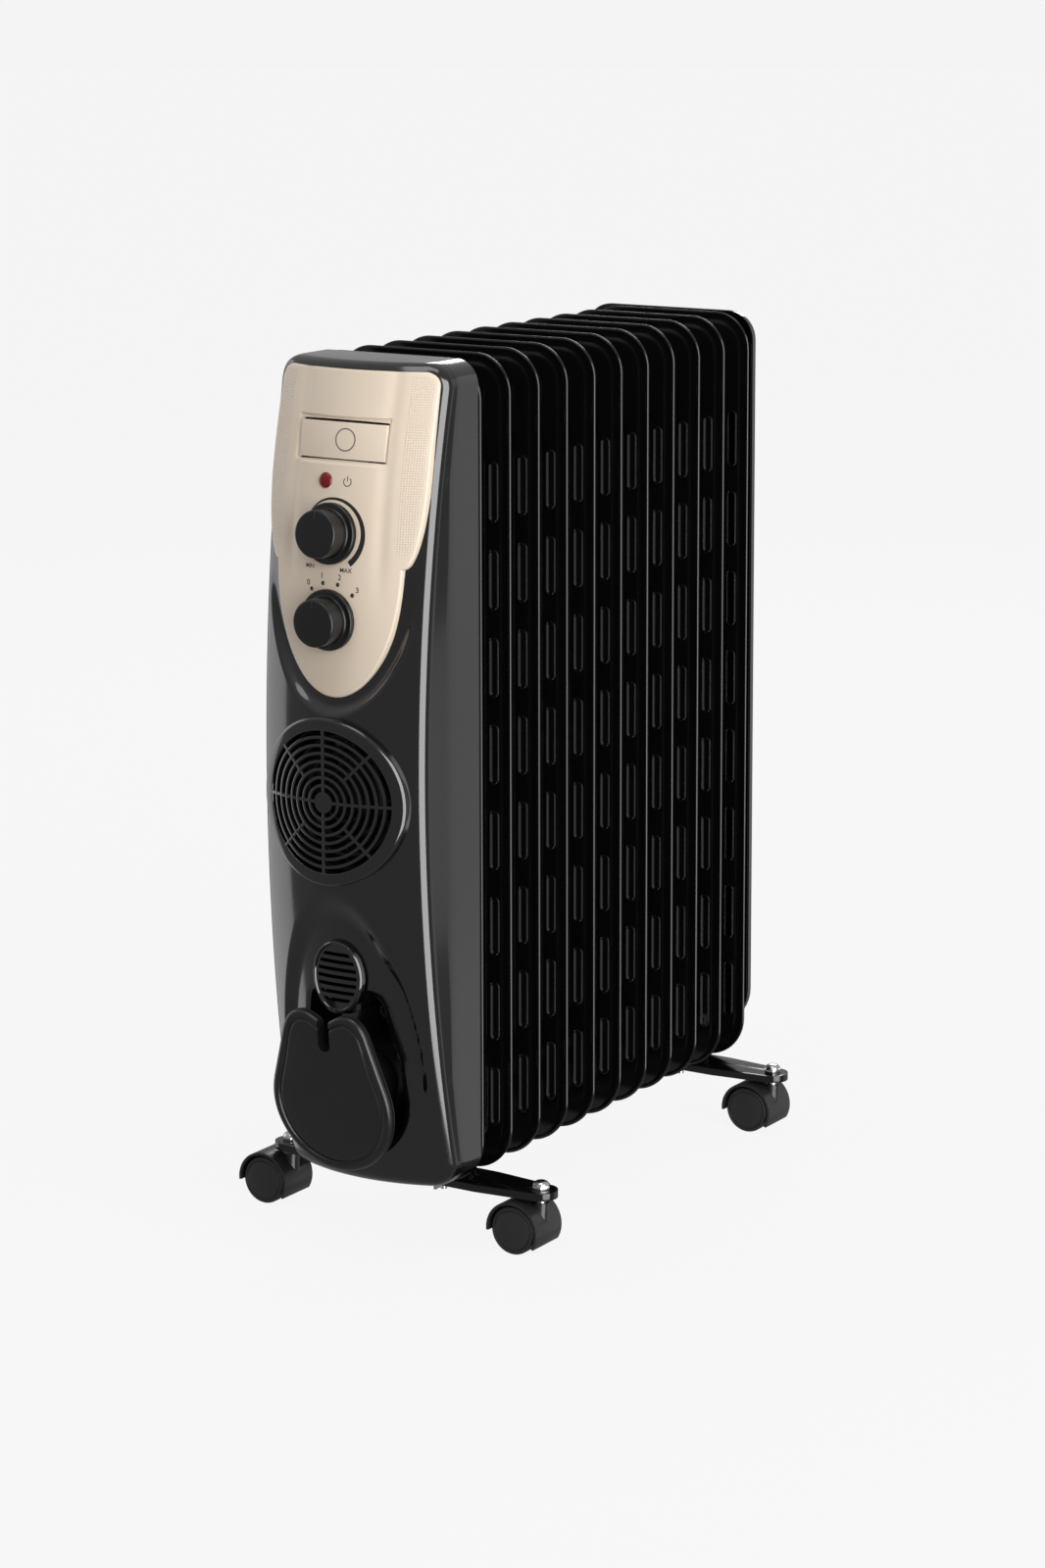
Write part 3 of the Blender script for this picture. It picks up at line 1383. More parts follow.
@dataclass
class Knobs:
    """The two turned grips, their pointer lines and the rocker, pilot and shafts."""

    panel: PanelForm
    gap: float = 0.6
    skirt_r: float = 21.2
    skirt_h: float = 4.5
    grip_r: float = 16.5
    height: float = 20.0
    rocker_lift: float = 0.3

    def profile(self) -> Outline:
        """The knob's section, from the axis below the skirt to the middle of its face."""
        top = self.gap + self.height
        skirt_top = self.gap + self.skirt_h
        edge = arc(self.grip_r - 1.6, top - 1.6, 1.6, 0, 90, 6)
        lip = arc(self.skirt_r - 1.2, skirt_top - 1.2, 1.2, 0, 90, 5)
        neck = arc(self.grip_r + 1.6, skirt_top + 1.6, 1.6, -90, -180, 5)
        face = [(self.grip_r - 4.2, top + 0.12), (8.0, top + 0.28), (4.0, top + 0.34)]
        return [(3.02, self.gap), (self.skirt_r - 0.4, self.gap), (self.skirt_r, self.gap + 0.4), *lip, *neck,
                *edge, *face, (0.0, top + 0.36)]

    def knob(self, name: str, body: str, node: str, z: float, turned: float) -> None:
        """Makes one knob with its pointer line.

        Args:
            name: the piece's name.
            body: the body it rides on.
            node: the CAD knob it replaces.
            z: the axis's height on the panel.
            turned: where the pointer stands, in degrees clockwise from straight up.
        """
        stand = Stand.on_panel(self.panel, 0.0, z)
        grip = lathe("grip", [(0.0, self.gap + 8.0), (3.02, self.gap + 8.0), *self.profile()], stand,
                     WARDROBE.get(KNOB_BLACK), 120, 30.0)
        top = self.gap + self.height
        angle = math.radians(turned)
        along = np.array([math.sin(angle), math.cos(angle)])
        aside = np.array([along[1], -along[0]])
        path = [(9.6, top + 0.1), (10.0, top + 0.5), (self.grip_r - 3.6, top + 0.42), (self.grip_r - 1.6, top + 0.26), (self.grip_r - 0.45, top - 0.42), (self.grip_r + 0.06, top - 1.7),
                (self.grip_r + 0.06, top - 6.5)]
        inner = [(max(r - 0.5, 1.0), h - 0.5) for r, h in path]
        grids = []
        for line in (path, inner):
            grids.append(np.array([[stand.points(np.array([*(r * along + w * aside), h])) for w in (-0.7, 0.0, 0.7)]
                                   for r, h in line]))
        pointer = slab_pair("pointer", grids[0], grids[1], WARDROBE.get(RIB_BLACK), 50.0)
        finished(joined(f"{name}_look", [grip, pointer], 30.0), name, body, Slot.SATIN, node)

    def rocker(self) -> None:
        """Softens the rocker and lays the ring mark on it."""
        button = softened("rocker_button", WARDROBE.get(Slot.ROCKER), 0.9, 4)
        lift = Stand.on_panel(self.panel, 0.0, self.panel.rocker_z).up * self.rocker_lift * MM
        for vertex in button.data.vertices:
            vertex.co += Vector(lift.tolist())
        press = Presser(button)
        turn = np.radians(np.linspace(0, 360, 73))[:-1]
        rows = [[(5.0 + r * math.cos(a), self.panel.rocker_z + r * 0.98 * math.sin(a)) for a in [*turn, turn[0]]]
                for r in (7.2, 7.65, 8.1)]
        ring = press.strip("rocker_ring", rows, WARDROBE.get(RING_PAINT), 0.05)
        finished(button, "rocker_cap", "rocker", Slot.ROCKER, "rocker_button")
        finished(ring, "rocker_mark", "rocker", Slot.ROCKER)

    def pilot(self) -> None:
        """Makes the pilot light's domed lens."""
        low, high = node_box("pilot_light")
        radius = (high[0] - low[0]) / 2
        stand = Stand.on_panel(self.panel, *self.panel.pilot)
        dome = [(radius * math.cos(a), 0.2 + 1.9 * math.sin(a)) for a in np.linspace(0, math.pi / 2, 12)]
        profile = [(0.0, -6.0), (radius - 0.6, -6.0), (radius - 0.3, -5.4), (radius - 0.2, 0.0), *dome[:-1], (0.0, 2.1)]
        lens = lathe("lens", profile, stand, WARDROBE.get(Slot.LENS), 48)
        finished(lens, "pilot_lens", "root", Slot.LENS, "pilot_light")

    def build(self) -> None:
        """Makes all the controls."""
        self.knob("thermostat_grip", "thermostat", "thermostat_knob", self.panel.thermostat_z, 0.0)
        self.knob("selector_grip", "selector", "selector_knob", self.panel.selector_z, 0.0)
        self.rocker()
        self.pilot()


@dataclass
class FanGrille:
    """The round guard over the fan's mouth."""

    form: FrontForm
    centre_z: float = 333.5
    radius: float = 59.0
    face: float = 89.5
    rear: float = 60.0
    hub_r: float = 7.4
    first_r: float = 11.8
    pitch: float = 5.6
    rings: int = 7
    bar: float = 2.4
    depth: float = 3.0
    band_inner: float = 49.8

    def ring_tree(self) -> ShapeTree:
        """Builds the tree of concentric rings and spokes.

        Returns:
            A tree with named inputs for the radii, the pitch, the bars and the crown.
        """
        shape = ShapeTree("grille_bars", {"First radius": 0.01, "Pitch": 0.005, "Bar": 0.002, "Depth": 0.003,
                                          "Hub radius": 0.007, "Band radius": 0.05, "Crown radius": 0.125,
                                          "X": 0.0, "Y": 0.0, "Z": 0.0})
        section = shape.add("GeometryNodeCurvePrimitiveQuadrilateral", {"mode": "RECTANGLE"},
                            {"Width": shape.size("Bar"), "Height": shape.size("Depth")})
        rounded = shape.add("GeometryNodeFilletCurve", None,
                            {"Curve": section.outputs[0]})
        rounded.mode = "POLY"
        rounded.inputs["Count"].default_value = 2
        rounded.inputs["Radius"].default_value = 0.0006
        parts = []
        for k in range(self.rings):
            radius = shape.math("MULTIPLY_ADD", shape.size("Pitch"), float(k), shape.size("First radius"))
            circle = shape.add("GeometryNodeCurvePrimitiveCircle", None, {"Resolution": 96, "Radius": radius})
            parts.append(shape.add("GeometryNodeCurveToMesh", None,
                                   {"Curve": circle.outputs[0], "Profile Curve": rounded.outputs[0]}).outputs[0])
        for k in range(8):
            inner = shape.size("Hub radius") if k % 2 == 0 else shape.math(
                "MULTIPLY_ADD", shape.size("Pitch"), 2.0, shape.size("First radius"))
            start = shape.add("ShaderNodeCombineXYZ", None, {0: shape.math("MULTIPLY", inner, 0.97)})
            end = shape.add("ShaderNodeCombineXYZ", None, {0: shape.math("MULTIPLY", shape.size("Band radius"), 1.03)})
            line = shape.add("GeometryNodeCurvePrimitiveLine", None, {"Start": start.outputs[0], "End": end.outputs[0]})
            fine = shape.add("GeometryNodeResampleCurve", None, {"Curve": line.outputs[0]})
            fine.inputs["Count"].default_value = 16
            bar = shape.add("GeometryNodeCurveToMesh", None,
                            {"Curve": fine.outputs[0], "Profile Curve": rounded.outputs[0], "Fill Caps": True})
            turned = shape.add("GeometryNodeTransform", None,
                               {"Geometry": bar.outputs[0], "Rotation": (0.0, 0.0, math.pi / 4 * k)})
            parts.append(turned.outputs[0])
        hub = shape.add("GeometryNodeMeshCylinder", None, {"Vertices": 48, "Radius": shape.size("Hub radius"),
                                                           "Depth": shape.size("Depth")})
        parts.append(hub.outputs[0])
        gather = shape.add("GeometryNodeJoinGeometry")
        for part in parts:
            shape.tree.links.new(part, gather.inputs[0])
        spot = shape.add("GeometryNodeInputPosition")
        axes = shape.add("ShaderNodeSeparateXYZ", None, {0: spot.outputs[0]})
        square = shape.math("MULTIPLY", axes.outputs[0], axes.outputs[0])
        sink = shape.math("DIVIDE", square, shape.math("MULTIPLY", shape.size("Crown radius"), -2.0))
        offset = shape.add("ShaderNodeCombineXYZ", None, {2: sink})
        crowned = shape.add("GeometryNodeSetPosition", None,
                            {"Geometry": gather.outputs[0], "Offset": offset.outputs[0]})
        place = shape.add("ShaderNodeCombineXYZ", None,
                          {0: shape.size("X"), 1: shape.size("Y"), 2: shape.size("Z")})
        stood = shape.add("GeometryNodeTransform", None, {
            "Geometry": crowned.outputs[0], "Rotation": (math.pi / 2, 0.0, 0.0), "Translation": place.outputs[0]})
        shape.close(stood.outputs[0])
        return shape

    def band(self) -> bpy.types.Object:
        """Makes the outer band and its deep rim wall."""
        front = self.face
        inner = arc(self.band_inner + 1.0, front - 1.0, 1.0, 180, 90, 4)
        outer = arc(self.radius - 2.6, front - 2.6, 2.6, 90, 0, 7)
        profile = [(self.band_inner, front - 3.2), *inner, *outer, (self.radius, self.rear), (self.radius - 2.5, self.rear),
                   (self.radius - 2.5, front - 3.2)]
        turn = np.linspace(0, 2 * math.pi, 120, endpoint=False)
        rings = []
        for radius, depth in profile:
            x = radius * np.cos(turn)
            crown = x**2 / (2 * self.form.crown_r) if depth > self.rear else 0 * x
            rings.append(np.stack([x, -(depth - crown), self.centre_z + radius * np.sin(turn)], -1))
        faces = ring_faces(len(rings), 120)
        last = (len(rings) - 1) * 120
        faces += [[last + j, last + (j + 1) % 120, (j + 1) % 120, j] for j in range(120)]
        return new_object("grille_band", np.concatenate(rings), faces, WARDROBE.get(Slot.COVER), 30.0)

    def build(self) -> None:
        """Makes the guard."""
        place = DATUM.metres([0.0, -(self.face - self.depth / 2), self.centre_z])
        bars = self.ring_tree().run("grille_bars_look", {
            "First radius": self.first_r * MM, "Pitch": self.pitch * MM, "Bar": self.bar * MM,
            "Depth": self.depth * MM, "Hub radius": self.hub_r * MM, "Band radius": self.band_inner * MM,
            "Crown radius": self.form.crown_r * MM, "X": float(place[0]), "Y": float(place[1]),
            "Z": float(place[2]), "Material": WARDROBE.get(Slot.COVER)})
        whole = joined("grille_look", [bars, self.band()], 30.0)
        finished(whole, "fan_guard", "root", Slot.COVER, "fan_grille")


@dataclass
class VentGrille:
    """The small oval louvre over the cord store."""

    repeater: Repeater
    centre_z: float = 207.0
    half: tuple[float, float] = (20.5, 25.5)
    lip: float = 2.4
    face: float = 75.5
    pitch: float = 5.4
    opening: float = 2.6
    depth: float = 4.0
    slots: int = 7

    def ring(self, grow: float, depth: float) -> Points:
        """One oval ring."""
        turn = np.linspace(0, 2 * math.pi, 96, endpoint=False)
        x = (self.half[0] + grow) * np.cos(turn)
        z = self.centre_z + (self.half[1] + grow) * np.sin(turn)
        return np.stack([x, -(depth - x**2 / 250), z], -1)

    def build(self) -> None:
        """Makes the louvre."""
        gloss = WARDROBE.get(Slot.COVER)
        bend = [(0.3, 72.2), (0.3, 75.0), (-0.1, 76.0), (-0.9, 76.6), (-self.lip + 0.6, 76.5), (-self.lip, 75.6),
                (-self.lip - 0.4, self.face), (-12.0, self.face), (-20.0, self.face)]
        rings = [self.ring(-20.0, self.face - self.depth), self.ring(-2.6, self.face - self.depth), *(
            self.ring(g, d) for g, d in bend)]
        plate = stack("louvre", rings, gloss, 30.0)
        long = 2 * self.half[0]
        cutter = prism("slot", mirrored([(long / 2, -self.opening / 2), (long / 2, self.opening / 2)]), -110.0, -40.0)
        span = self.pitch * (self.slots - 1)
        slots = self.repeater.run("louvre_slots", cutter, gloss, (1, 1, self.slots), (0, 0, span),
                                  (0, 0, self.centre_z))
        room = prism("louvre_room", ellipse(self.centre_z, self.half[0] - 4.2, self.half[1] - 4.2), -110.0, -40.0)
        combine(slots, [room], Cut.COMMON)
        combine(plate, [slots], angle=30.0)
        finished(plate, "cord_vent", "root", Slot.COVER, "vent_grille")


@dataclass
class CordStore:
    """The heart-shaped plate that the cord is wound behind, with its drum and gland."""

    form: FrontForm
    centre_z: float = 128.0
    disc: tuple[float, float, float] = (0.0, 117.0, 49.5)
    lobe: tuple[float, float, float] = (18.5, 169.5, 16.0)
    stand_off: float = 20.5
    thickness: float = 9.0
    slot_half: float = 4.8
    slot_foot: float = 157.0

    def reach(self, turn: Points) -> Points:
        """Distance from the middle to the plate's outline in each direction."""
        low, high = np.zeros_like(turn), np.full_like(turn, 90.0)
        lobes = [self.lobe, (-self.lobe[0], *self.lobe[1:])]
        for _ in range(30):
            mid = (low + high) / 2
            x, z = mid * np.cos(turn), self.centre_z + mid * np.sin(turn)
            inside = inside_hull(x, z, self.disc, lobes[0]) | inside_hull(x, z, self.disc, lobes[1])
            low, high = np.where(inside, mid, low), np.where(inside, high, mid)
        blurred = np.convolve(np.r_[low[-4:], low, low[:4]], np.ones(9) / 9, "valid")
        return blurred

    def build(self) -> None:
        """Makes the plate and softens the drum and the gland."""
        turn = np.linspace(0, 2 * math.pi, 240, endpoint=False)
        reach = self.reach(turn)
        steps = [(40.0, -self.thickness), (4.0, -self.thickness), (1.2, -self.thickness + 0.6),
                 (0.0, -self.thickness + 2.0), (0.0, -6.4), (0.5, -6.1), (1.4, -5.9), (1.4, -4.7), (0.5, -4.4), (0.0, -4.1), (0.0, -3.4), (0.25, -2.2), (0.9, -1.1), (2.0, -0.35), (3.4, 0.0),
                 (5.0, 0.0), (5.6, -0.25), (6.0, -0.9), (6.5, -1.3), (7.2, -1.3), (7.8, -0.9), (8.4, -0.4),
                 (9.6, -0.15), (20.0, 0.0), (34.0, 0.1)]
        rings = []
        for inset, rise in steps:
            radius = np.maximum(reach - inset, reach * 0.02)
            x, z = radius * np.cos(turn), self.centre_z + radius * np.sin(turn)
            rings.append(np.stack([x, -(self.form.bulge(z) + self.stand_off + rise), z], -1))
        plate = stack("cord_plate_look", rings, WARDROBE.get(Slot.SATIN), 38.0)
        clip = arc(0.0, self.slot_foot + self.slot_half, self.slot_half, 180, 360, 16)
        combine(plate, [prism("clip_slot", clip + [(self.slot_half, 200.0), (-self.slot_half, 200.0)], -140.0, -60.0)],
                angle=38.0)
        finished(plate, "cord_keeper", "root", Slot.SATIN, "cord_plate")
        for node in ("cord_drum", "cord_gland"):
            finished(softened(node, WARDROBE.get(Slot.SATIN), 0.6), f"{node}_soft", "root", Slot.SATIN, node)


# ------------------------------------------------------------------ the oil-filled fins


@dataclass
class FinPack:
    """Eleven pressed fins, their headers and the neck pieces between them."""

    repeater: Repeater
    fins: int = 11
    pitch: float = 37.5
    half: float = 72.25
    bottom: float = 46.5
    top: float = 634.5
    foot_r: float = 34.0
    top_r: float = 28.0
    sheet: float = 1.6
    hem: float = 2.4
    hem_width: float = 2.9
    step_in: float = 7.9
    trough_x: float = 15.0
    trough_half: float = 7.75
    emboss: float = 0.8
    step_half: float = 1.5
    chamber_half: float = 4.5
    lobe_x: float = 19.0
    lobe_half: float = 13.0
    slot_half: float = 2.8
    slot_long: float = 41.5
    slot_pitch: float = 62.2
    slot_foot: float = 81.5
    slot_in: float = 13.4
    slots: int = 8
    header_z: tuple[float, float] = (100.5, 574.5)

    def half_at(self, z: float) -> float:
        """Half width of a fin at a height."""
        if z < self.bottom + self.foot_r:
            rise = self.bottom + self.foot_r - z
            return self.half - self.foot_r + math.sqrt(max(0.0, self.foot_r**2 - rise * rise))
        rise = max(0.0, z - (self.top - self.top_r))
        return self.half - self.top_r + math.sqrt(max(0.0, self.top_r**2 - rise * rise))

    def levels(self) -> list[float]:
        """Heights of the mesh's rows."""
        foot = [self.bottom + self.foot_r * (1 - math.cos(a)) for a in np.linspace(0, math.pi / 2, 18)]
        crown = [self.top - self.top_r * (1 - math.cos(a)) for a in np.linspace(math.pi / 2, 0, 16)]
        straight = np.linspace(foot[-1], crown[0], 52)[1:-1]
        return [*foot, *straight, *crown]

    def columns(self) -> list[float]:
        """Insets from the edge of the mesh's columns, then places across the middle."""
        return [0.0, 0.25, 0.8, 1.6, 2.3, 2.9, 3.4, 5.4, 6.4, 7.2, 7.9, 8.6, 9.4, 10.2, 12.0, 14.4, 17.0, 19.4, 20.8,
                21.6, 22.4, 23.4, 26.0]

    def section(self, x: Points, z: Points, edge: Points) -> tuple[Points, Points]:
        """Middle and half thickness of the pressed sheets.

        Args:
            x: places across the fin.
            z: heights.
            edge: distances in from the outline.

        Returns:
            The middle's offset along Y and the half thickness.
        """
        bead = self.hem / 2 * np.sqrt(np.clip(1 - ((edge - self.hem_width / 2) / (self.hem_width / 2 + 0.05)) ** 2, 0, 1))
        flat = np.full_like(edge, self.sheet / 2)
        half = np.where(edge < self.hem_width, np.maximum(bead, 0.0 * edge), flat)
        half = np.where((edge >= self.hem_width * 0.6) & (edge < self.hem_width), np.maximum(half, self.sheet / 2), half)
        lift = self.emboss * ramp(edge, self.step_in - self.step_half, self.step_in + self.step_half)
        lift -= self.emboss * ramp(edge, 19.4, 22.4)
        lift *= ramp(z, 66.0, 78.0)
        lobes = 1 - smooth((np.abs(np.abs(x) - self.lobe_x) - self.lobe_half + 3) / 6)
        lobes *= ramp(z, 92.0, 108.0) * (1 - ramp(z, 566.0, 582.0))
        discs = 0.0 * x
        for header in self.header_z:
            discs = np.maximum(discs, 1 - smooth((np.hypot(x, z - header) - 34.0) / 6))
        chamber = np.maximum(lobes, discs)
        return lift, half + (self.chamber_half - self.sheet / 2) * chamber

    def sheet_mesh(self, name: str) -> bpy.types.Object:
        """Makes one pressed fin at Y = 0, without its slots."""
        outline = mirrored([(self.half_at(z) + 1e-4, z) for z in self.levels()])
        insets = self.columns()
        rows = []
        for z in self.levels():
            half = self.half_at(z)
            scale = min(1.0, (half - 2.0) / insets[-1])
            right = [half - i * scale for i in insets]
            inner = np.linspace(right[-1], -right[-1], 26)[1:-1].tolist()
            rows.append([(x, z) for x in [*right, *inner, *(-x for x in reversed(right))]])
        flat = np.array(rows)
        x, z = flat[..., 0], flat[..., 1]
        edge = np.maximum(inside_distance(x, z, outline), 0.0)
        lift, half = self.section(x, z, edge)
        half = np.maximum(half, 0.12)
        front = np.stack([x, -lift - half, z], -1)
        back = np.stack([x, -lift + half, z], -1)
        return slab_pair(name, front, back, WARDROBE.get(Slot.ENAMEL), 40.0)

    def obround(self, half: float, long: float) -> Outline:
        """A slot's outline about the origin."""
        straight = long / 2 - half
        return arc(0.0, straight, half, 0, 180, 8) + arc(0.0, -straight, half, 180, 360, 8)

    def lip(self) -> bpy.types.Object:
        """Makes the raised rim of one slot at the origin."""
        rings = []
        for grow, height in ((0.0, 0.2), (0.15, 1.5), (0.55, 1.75), (0.95, 1.5), (1.3, 0.2), (1.3, -0.4), (0.0, -0.4)):
            outline = self.obround(self.slot_half + grow, self.slot_long + 2 * grow)
            rings.append(np.array([(x, -height, z) for x, z in outline]))
        count = len(rings[0])
        faces = ring_faces(len(rings), count)
        last = (len(rings) - 1) * count
        faces += [[last + j, last + (j + 1) % count, (j + 1) % count, j] for j in range(count)]
        return new_object("slot_lip", np.concatenate(rings), faces, WARDROBE.get(Slot.ENAMEL), 50.0)

    def build(self) -> None:
        """Makes the fins and the headers."""
        enamel = WARDROBE.get(Slot.ENAMEL)
        counts = (2, 1, self.slots)
        spans = (2 * (self.half - self.slot_in), 0.0, self.slot_pitch * (self.slots - 1))
        middle = (0.0, 0.0, self.slot_foot + self.slot_long / 2 + spans[2] / 2)
        cutter = prism("slot_cutter", self.obround(self.slot_half, self.slot_long), -8.0, 8.0)
        cutters = self.repeater.run("slot_cutters", cutter, enamel, counts, spans, middle)
        lips = self.repeater.run("slot_lips", self.lip(), enamel, counts, spans, (middle[0], -self.emboss, middle[2]), 50.0)
        fin = combine(self.sheet_mesh("fin_look"), [cutters], angle=40.0)
        fin = joined("fin_master", [fin, lips], 40.0)
        places = np.zeros(len(fin.data.vertices) * 3)
        fin.data.vertices.foreach_get("co", places)
        places = places.reshape(-1, 3)
        for k in range(self.fins):
            mesh = fin.data.copy()
            moved = places + np.array([0.0, k * self.pitch * MM, 0.0])
            mesh.vertices.foreach_set("co", moved.ravel())
            copy = bpy.data.objects.new(f"fin_look_{k}", mesh)
            bpy.context.scene.collection.objects.link(copy)
            finished(copy, f"pressed_fin_{k + 1:02d}", "root", Slot.ENAMEL, f"fin_{k + 1:02d}")
        discard(fin)


@dataclass
class Headers:
    """The two oil headers: a welded neck in each gap, with end plugs."""

    repeater: Repeater
    fins: FinPack
    neck_r: float = 23.0
    chamber: float = 9.0

    def neck(self) -> bpy.types.Object:
        """Makes one neck with a weld bead at each end, in the first gap."""
        gap = self.fins.pitch - self.chamber
        bead = 1.6
        profile = [(self.neck_r - 3.0, -0.4), (self.neck_r + 2.4, -0.4), (self.neck_r + 2.2, 0.5)]
        profile += [(self.neck_r + 2.2 - bead * math.sin(a), 0.5 + bead * (1 - math.cos(a)))
                    for a in np.linspace(0, math.pi / 2, 5)[1:]]
        profile += [(self.neck_r, 3.4)]
        mirror = [(r, gap - h) for r, h in reversed(profile)]
        stand = Stand.along((0.0, 0.0, 0.0), (0.0, 1.0, 0.0))
        return lathe("neck", profile + mirror, stand, WARDROBE.get(Slot.ENAMEL), 72, 40.0)

    def build(self) -> None:
        """Makes both headers."""
        enamel = WARDROBE.get(Slot.ENAMEL)
        span = self.fins.pitch * (self.fins.fins - 2)
        for name, height in zip(("lower_header", "upper_header"), self.fins.header_z):
            run = self.repeater.run(f"{name}_necks", self.neck(), enamel, (1, self.fins.fins - 1, 1), (0.0, span, 0.0),
                                    (0.0, self.chamber / 2 + span / 2, height), 40.0)
            plugs = []
            end = self.fins.pitch * (self.fins.fins - 1) + self.chamber / 2
            stand = Stand.along((0.0, end - 0.3, height), (0.0, 1.0, 0.0))
            plugs.append(lathe("plug", [(0.0, 0.0), (17.6, 0.0), (17.6, 1.6), (16.8, 2.4), (11.0, 2.6), (10.2, 3.6),
                                        (0.0, 3.6)], stand, enamel, 60, 35.0))
            finished(joined(f"{name}_look", [run, *plugs], 40.0), f"{name}_necks", "root", Slot.ENAMEL, name)


@dataclass
class RearCap:
    """The pressed cover over the last fin."""

    half: float = 74.45
    bottom: float = 72.5
    top: float = 635.5
    foot_r: float = 30.0
    top_r: float = 22.0
    front: float = 377.0
    back: float = 384.5

    def ring(self, inset: float, y: float) -> Points:
        """One outline of the pan."""
        shape = rounded_plate(self.half - inset, self.bottom + inset, self.top - inset,
                              self.foot_r - min(inset, 8.0), self.top_r - min(inset, 8.0))
        return np.array([(x, y, z) for x, z in shape])

    def build(self) -> None:
        """Makes the pan."""
        low, high = node_box("rear_cap")
        r = 4.2
        rings = [self.ring(2.0, self.front + 2.0), self.ring(1.6, self.front), self.ring(0.0, self.front)]
        rings += [self.ring(r * (1 - math.cos(a)), self.back - r + r * math.sin(a)) for a in np.linspace(0, math.pi / 2, 7)]
        rings += [self.ring(9.0, self.back), self.ring(11.0, self.back - 0.9), self.ring(14.0, self.back - 1.4),
                  self.ring(40.0, self.back - 1.4)]
        pan = stack("rear_cap_look", rings, WARDROBE.get(Slot.COVER), 35.0)
        inner = [self.ring(2.0, self.front - 4.0), self.ring(2.0, self.back - 3.4), self.ring(4.0, self.back - 2.9)]
        combine(pan, [stack("pan_room", inner)], angle=35.0)
        finished(pan, "rear_pan", "root", Slot.COVER, "rear_cap")


@dataclass
class Chassis:
    """Foot brackets, their clamps and the caster stems."""

    def build(self) -> None:
        """Softens the brackets and the fasteners that show."""
        for node in ("foot_bracket_front", "foot_bracket_rear"):
            finished(softened(node, WARDROBE.get(Slot.ENAMEL), 0.7, 3), f"{node}_pressed", "root", Slot.ENAMEL, node)
        for node, width in SOFT_FASTENERS:
            finished(softened(node, WARDROBE.get(Slot.ZINC), width, 2), f"{node}_plated", BODY_OF[node], Slot.ZINC, node)


@dataclass
class Casters:
    """The four twin-wheel casters."""

    names: tuple[str, ...] = ("fr", "fl", "rr", "rl")
    radius: float = 17.5
    near: float = 7.2
    far: float = 16.8
    bore: float = 2.3

    def wheel(self, centre: Points, side: int) -> bpy.types.Object:
        """Makes one wheel.

        Args:
            centre: a point on the axle, midway between the wheels.
            side: 1 or -1, for which side of the web it is on.

        Returns:
            The wheel.
        """
        stand = Stand.along(centre, (0.0, float(side), 0.0))
        r, n, f = self.radius, self.near, self.far
        profile = [(self.bore, n + 0.2), (6.0, n), (r - 1.6, n), *arc(r - 1.6, n + 1.6, 1.6, -90, 0, 5),
                   *arc(r - 1.8, f - 1.8 - 1.0, 1.8, 0, 90, 5), (r - 2.5, f - 1.0), (r - 2.8, f - 1.5), (r - 3.3, f - 1.5),
                   (r - 3.6, f - 0.9), (r - 6.5, f - 0.35), (r - 10.0, f - 0.1), (self.bore + 1.0, f), (0.0, f),
                   (0.0, f - 1.6), (self.bore, f - 1.6)]
        return lathe("wheel", profile, stand, WARDROBE.get(Slot.TREAD), 96, 35.0)

    def build(self) -> None:
        """Makes the wheels and softens the hoods."""
        for name in self.names:
            centre, _ = joint_at(f"wheel_roll_{name}")
            low, high = node_box(f"caster_wheels_{name}")
            centre = np.array([centre[0], (low[1] + high[1]) / 2, centre[2]])
            pair = joined(f"wheels_{name}_look", [self.wheel(centre, 1), self.wheel(centre, -1)], 35.0)
            finished(pair, f"wheel_pair_{name}", f"wheels_{name}", Slot.TREAD, f"caster_wheels_{name}")
            hood = softened(f"caster_hood_{name}", WARDROBE.get(Slot.CASTER), 1.0, 4)
            finished(hood, f"hood_{name}", f"caster_{name}", Slot.CASTER, f"caster_hood_{name}")


SOFT_FASTENERS: tuple[tuple[str, float], ...] = (("caster_cap_nuts", 0.35), ("rear_cap_nuts", 0.3), ("bracket_wing_nuts", 0.3))
BODY_OF = {node: body for body, nodes in frame["record"]["behaviour"]["bodies"].items() for node in nodes}


def dress_inner() -> None:
    """Gives each CAD node that stays its finish, by the slot the record names."""
    for part in frame["record"]["subparts"]:
        for holder in frame["nodes"][part["node"]].material_slots:
            holder.material = WARDROBE.get(Slot(part["material_slot"]))


# ------------------------------------------------------------------ camera, floor and lights


@dataclass(frozen=True)
class SoftBox:
    """A rectangular softbox that looks at the object."""

    name: str
    azimuth: float
    height: float
    distance: float
    width: float
    tall: float
    radiance: float
    tone: str = "#ffffff"
    aim_z: float = 0.33

    def build(self) -> None:
        """Makes the light. Azimuth 0 is in front and 90 on the side of the dark wall."""
        light = bpy.data.lights.new(self.name, "AREA")
        light.shape = "RECTANGLE"
        light.size = self.width
        light.size_y = self.tall
        light.energy = self.radiance * math.pi * self.width * self.tall
        light.color = colour(self.tone)[:3]
        item = bpy.data.objects.new(self.name, light)
        turn = math.radians(self.azimuth)
        place = Vector((self.distance * math.sin(turn), -self.distance * math.cos(turn), self.height))
        item.location = place
        item.rotation_euler = (place - Vector((0.0, 0.0, self.aim_z))).to_track_quat("Z", "Y").to_euler()
        bpy.context.scene.collection.objects.link(item)


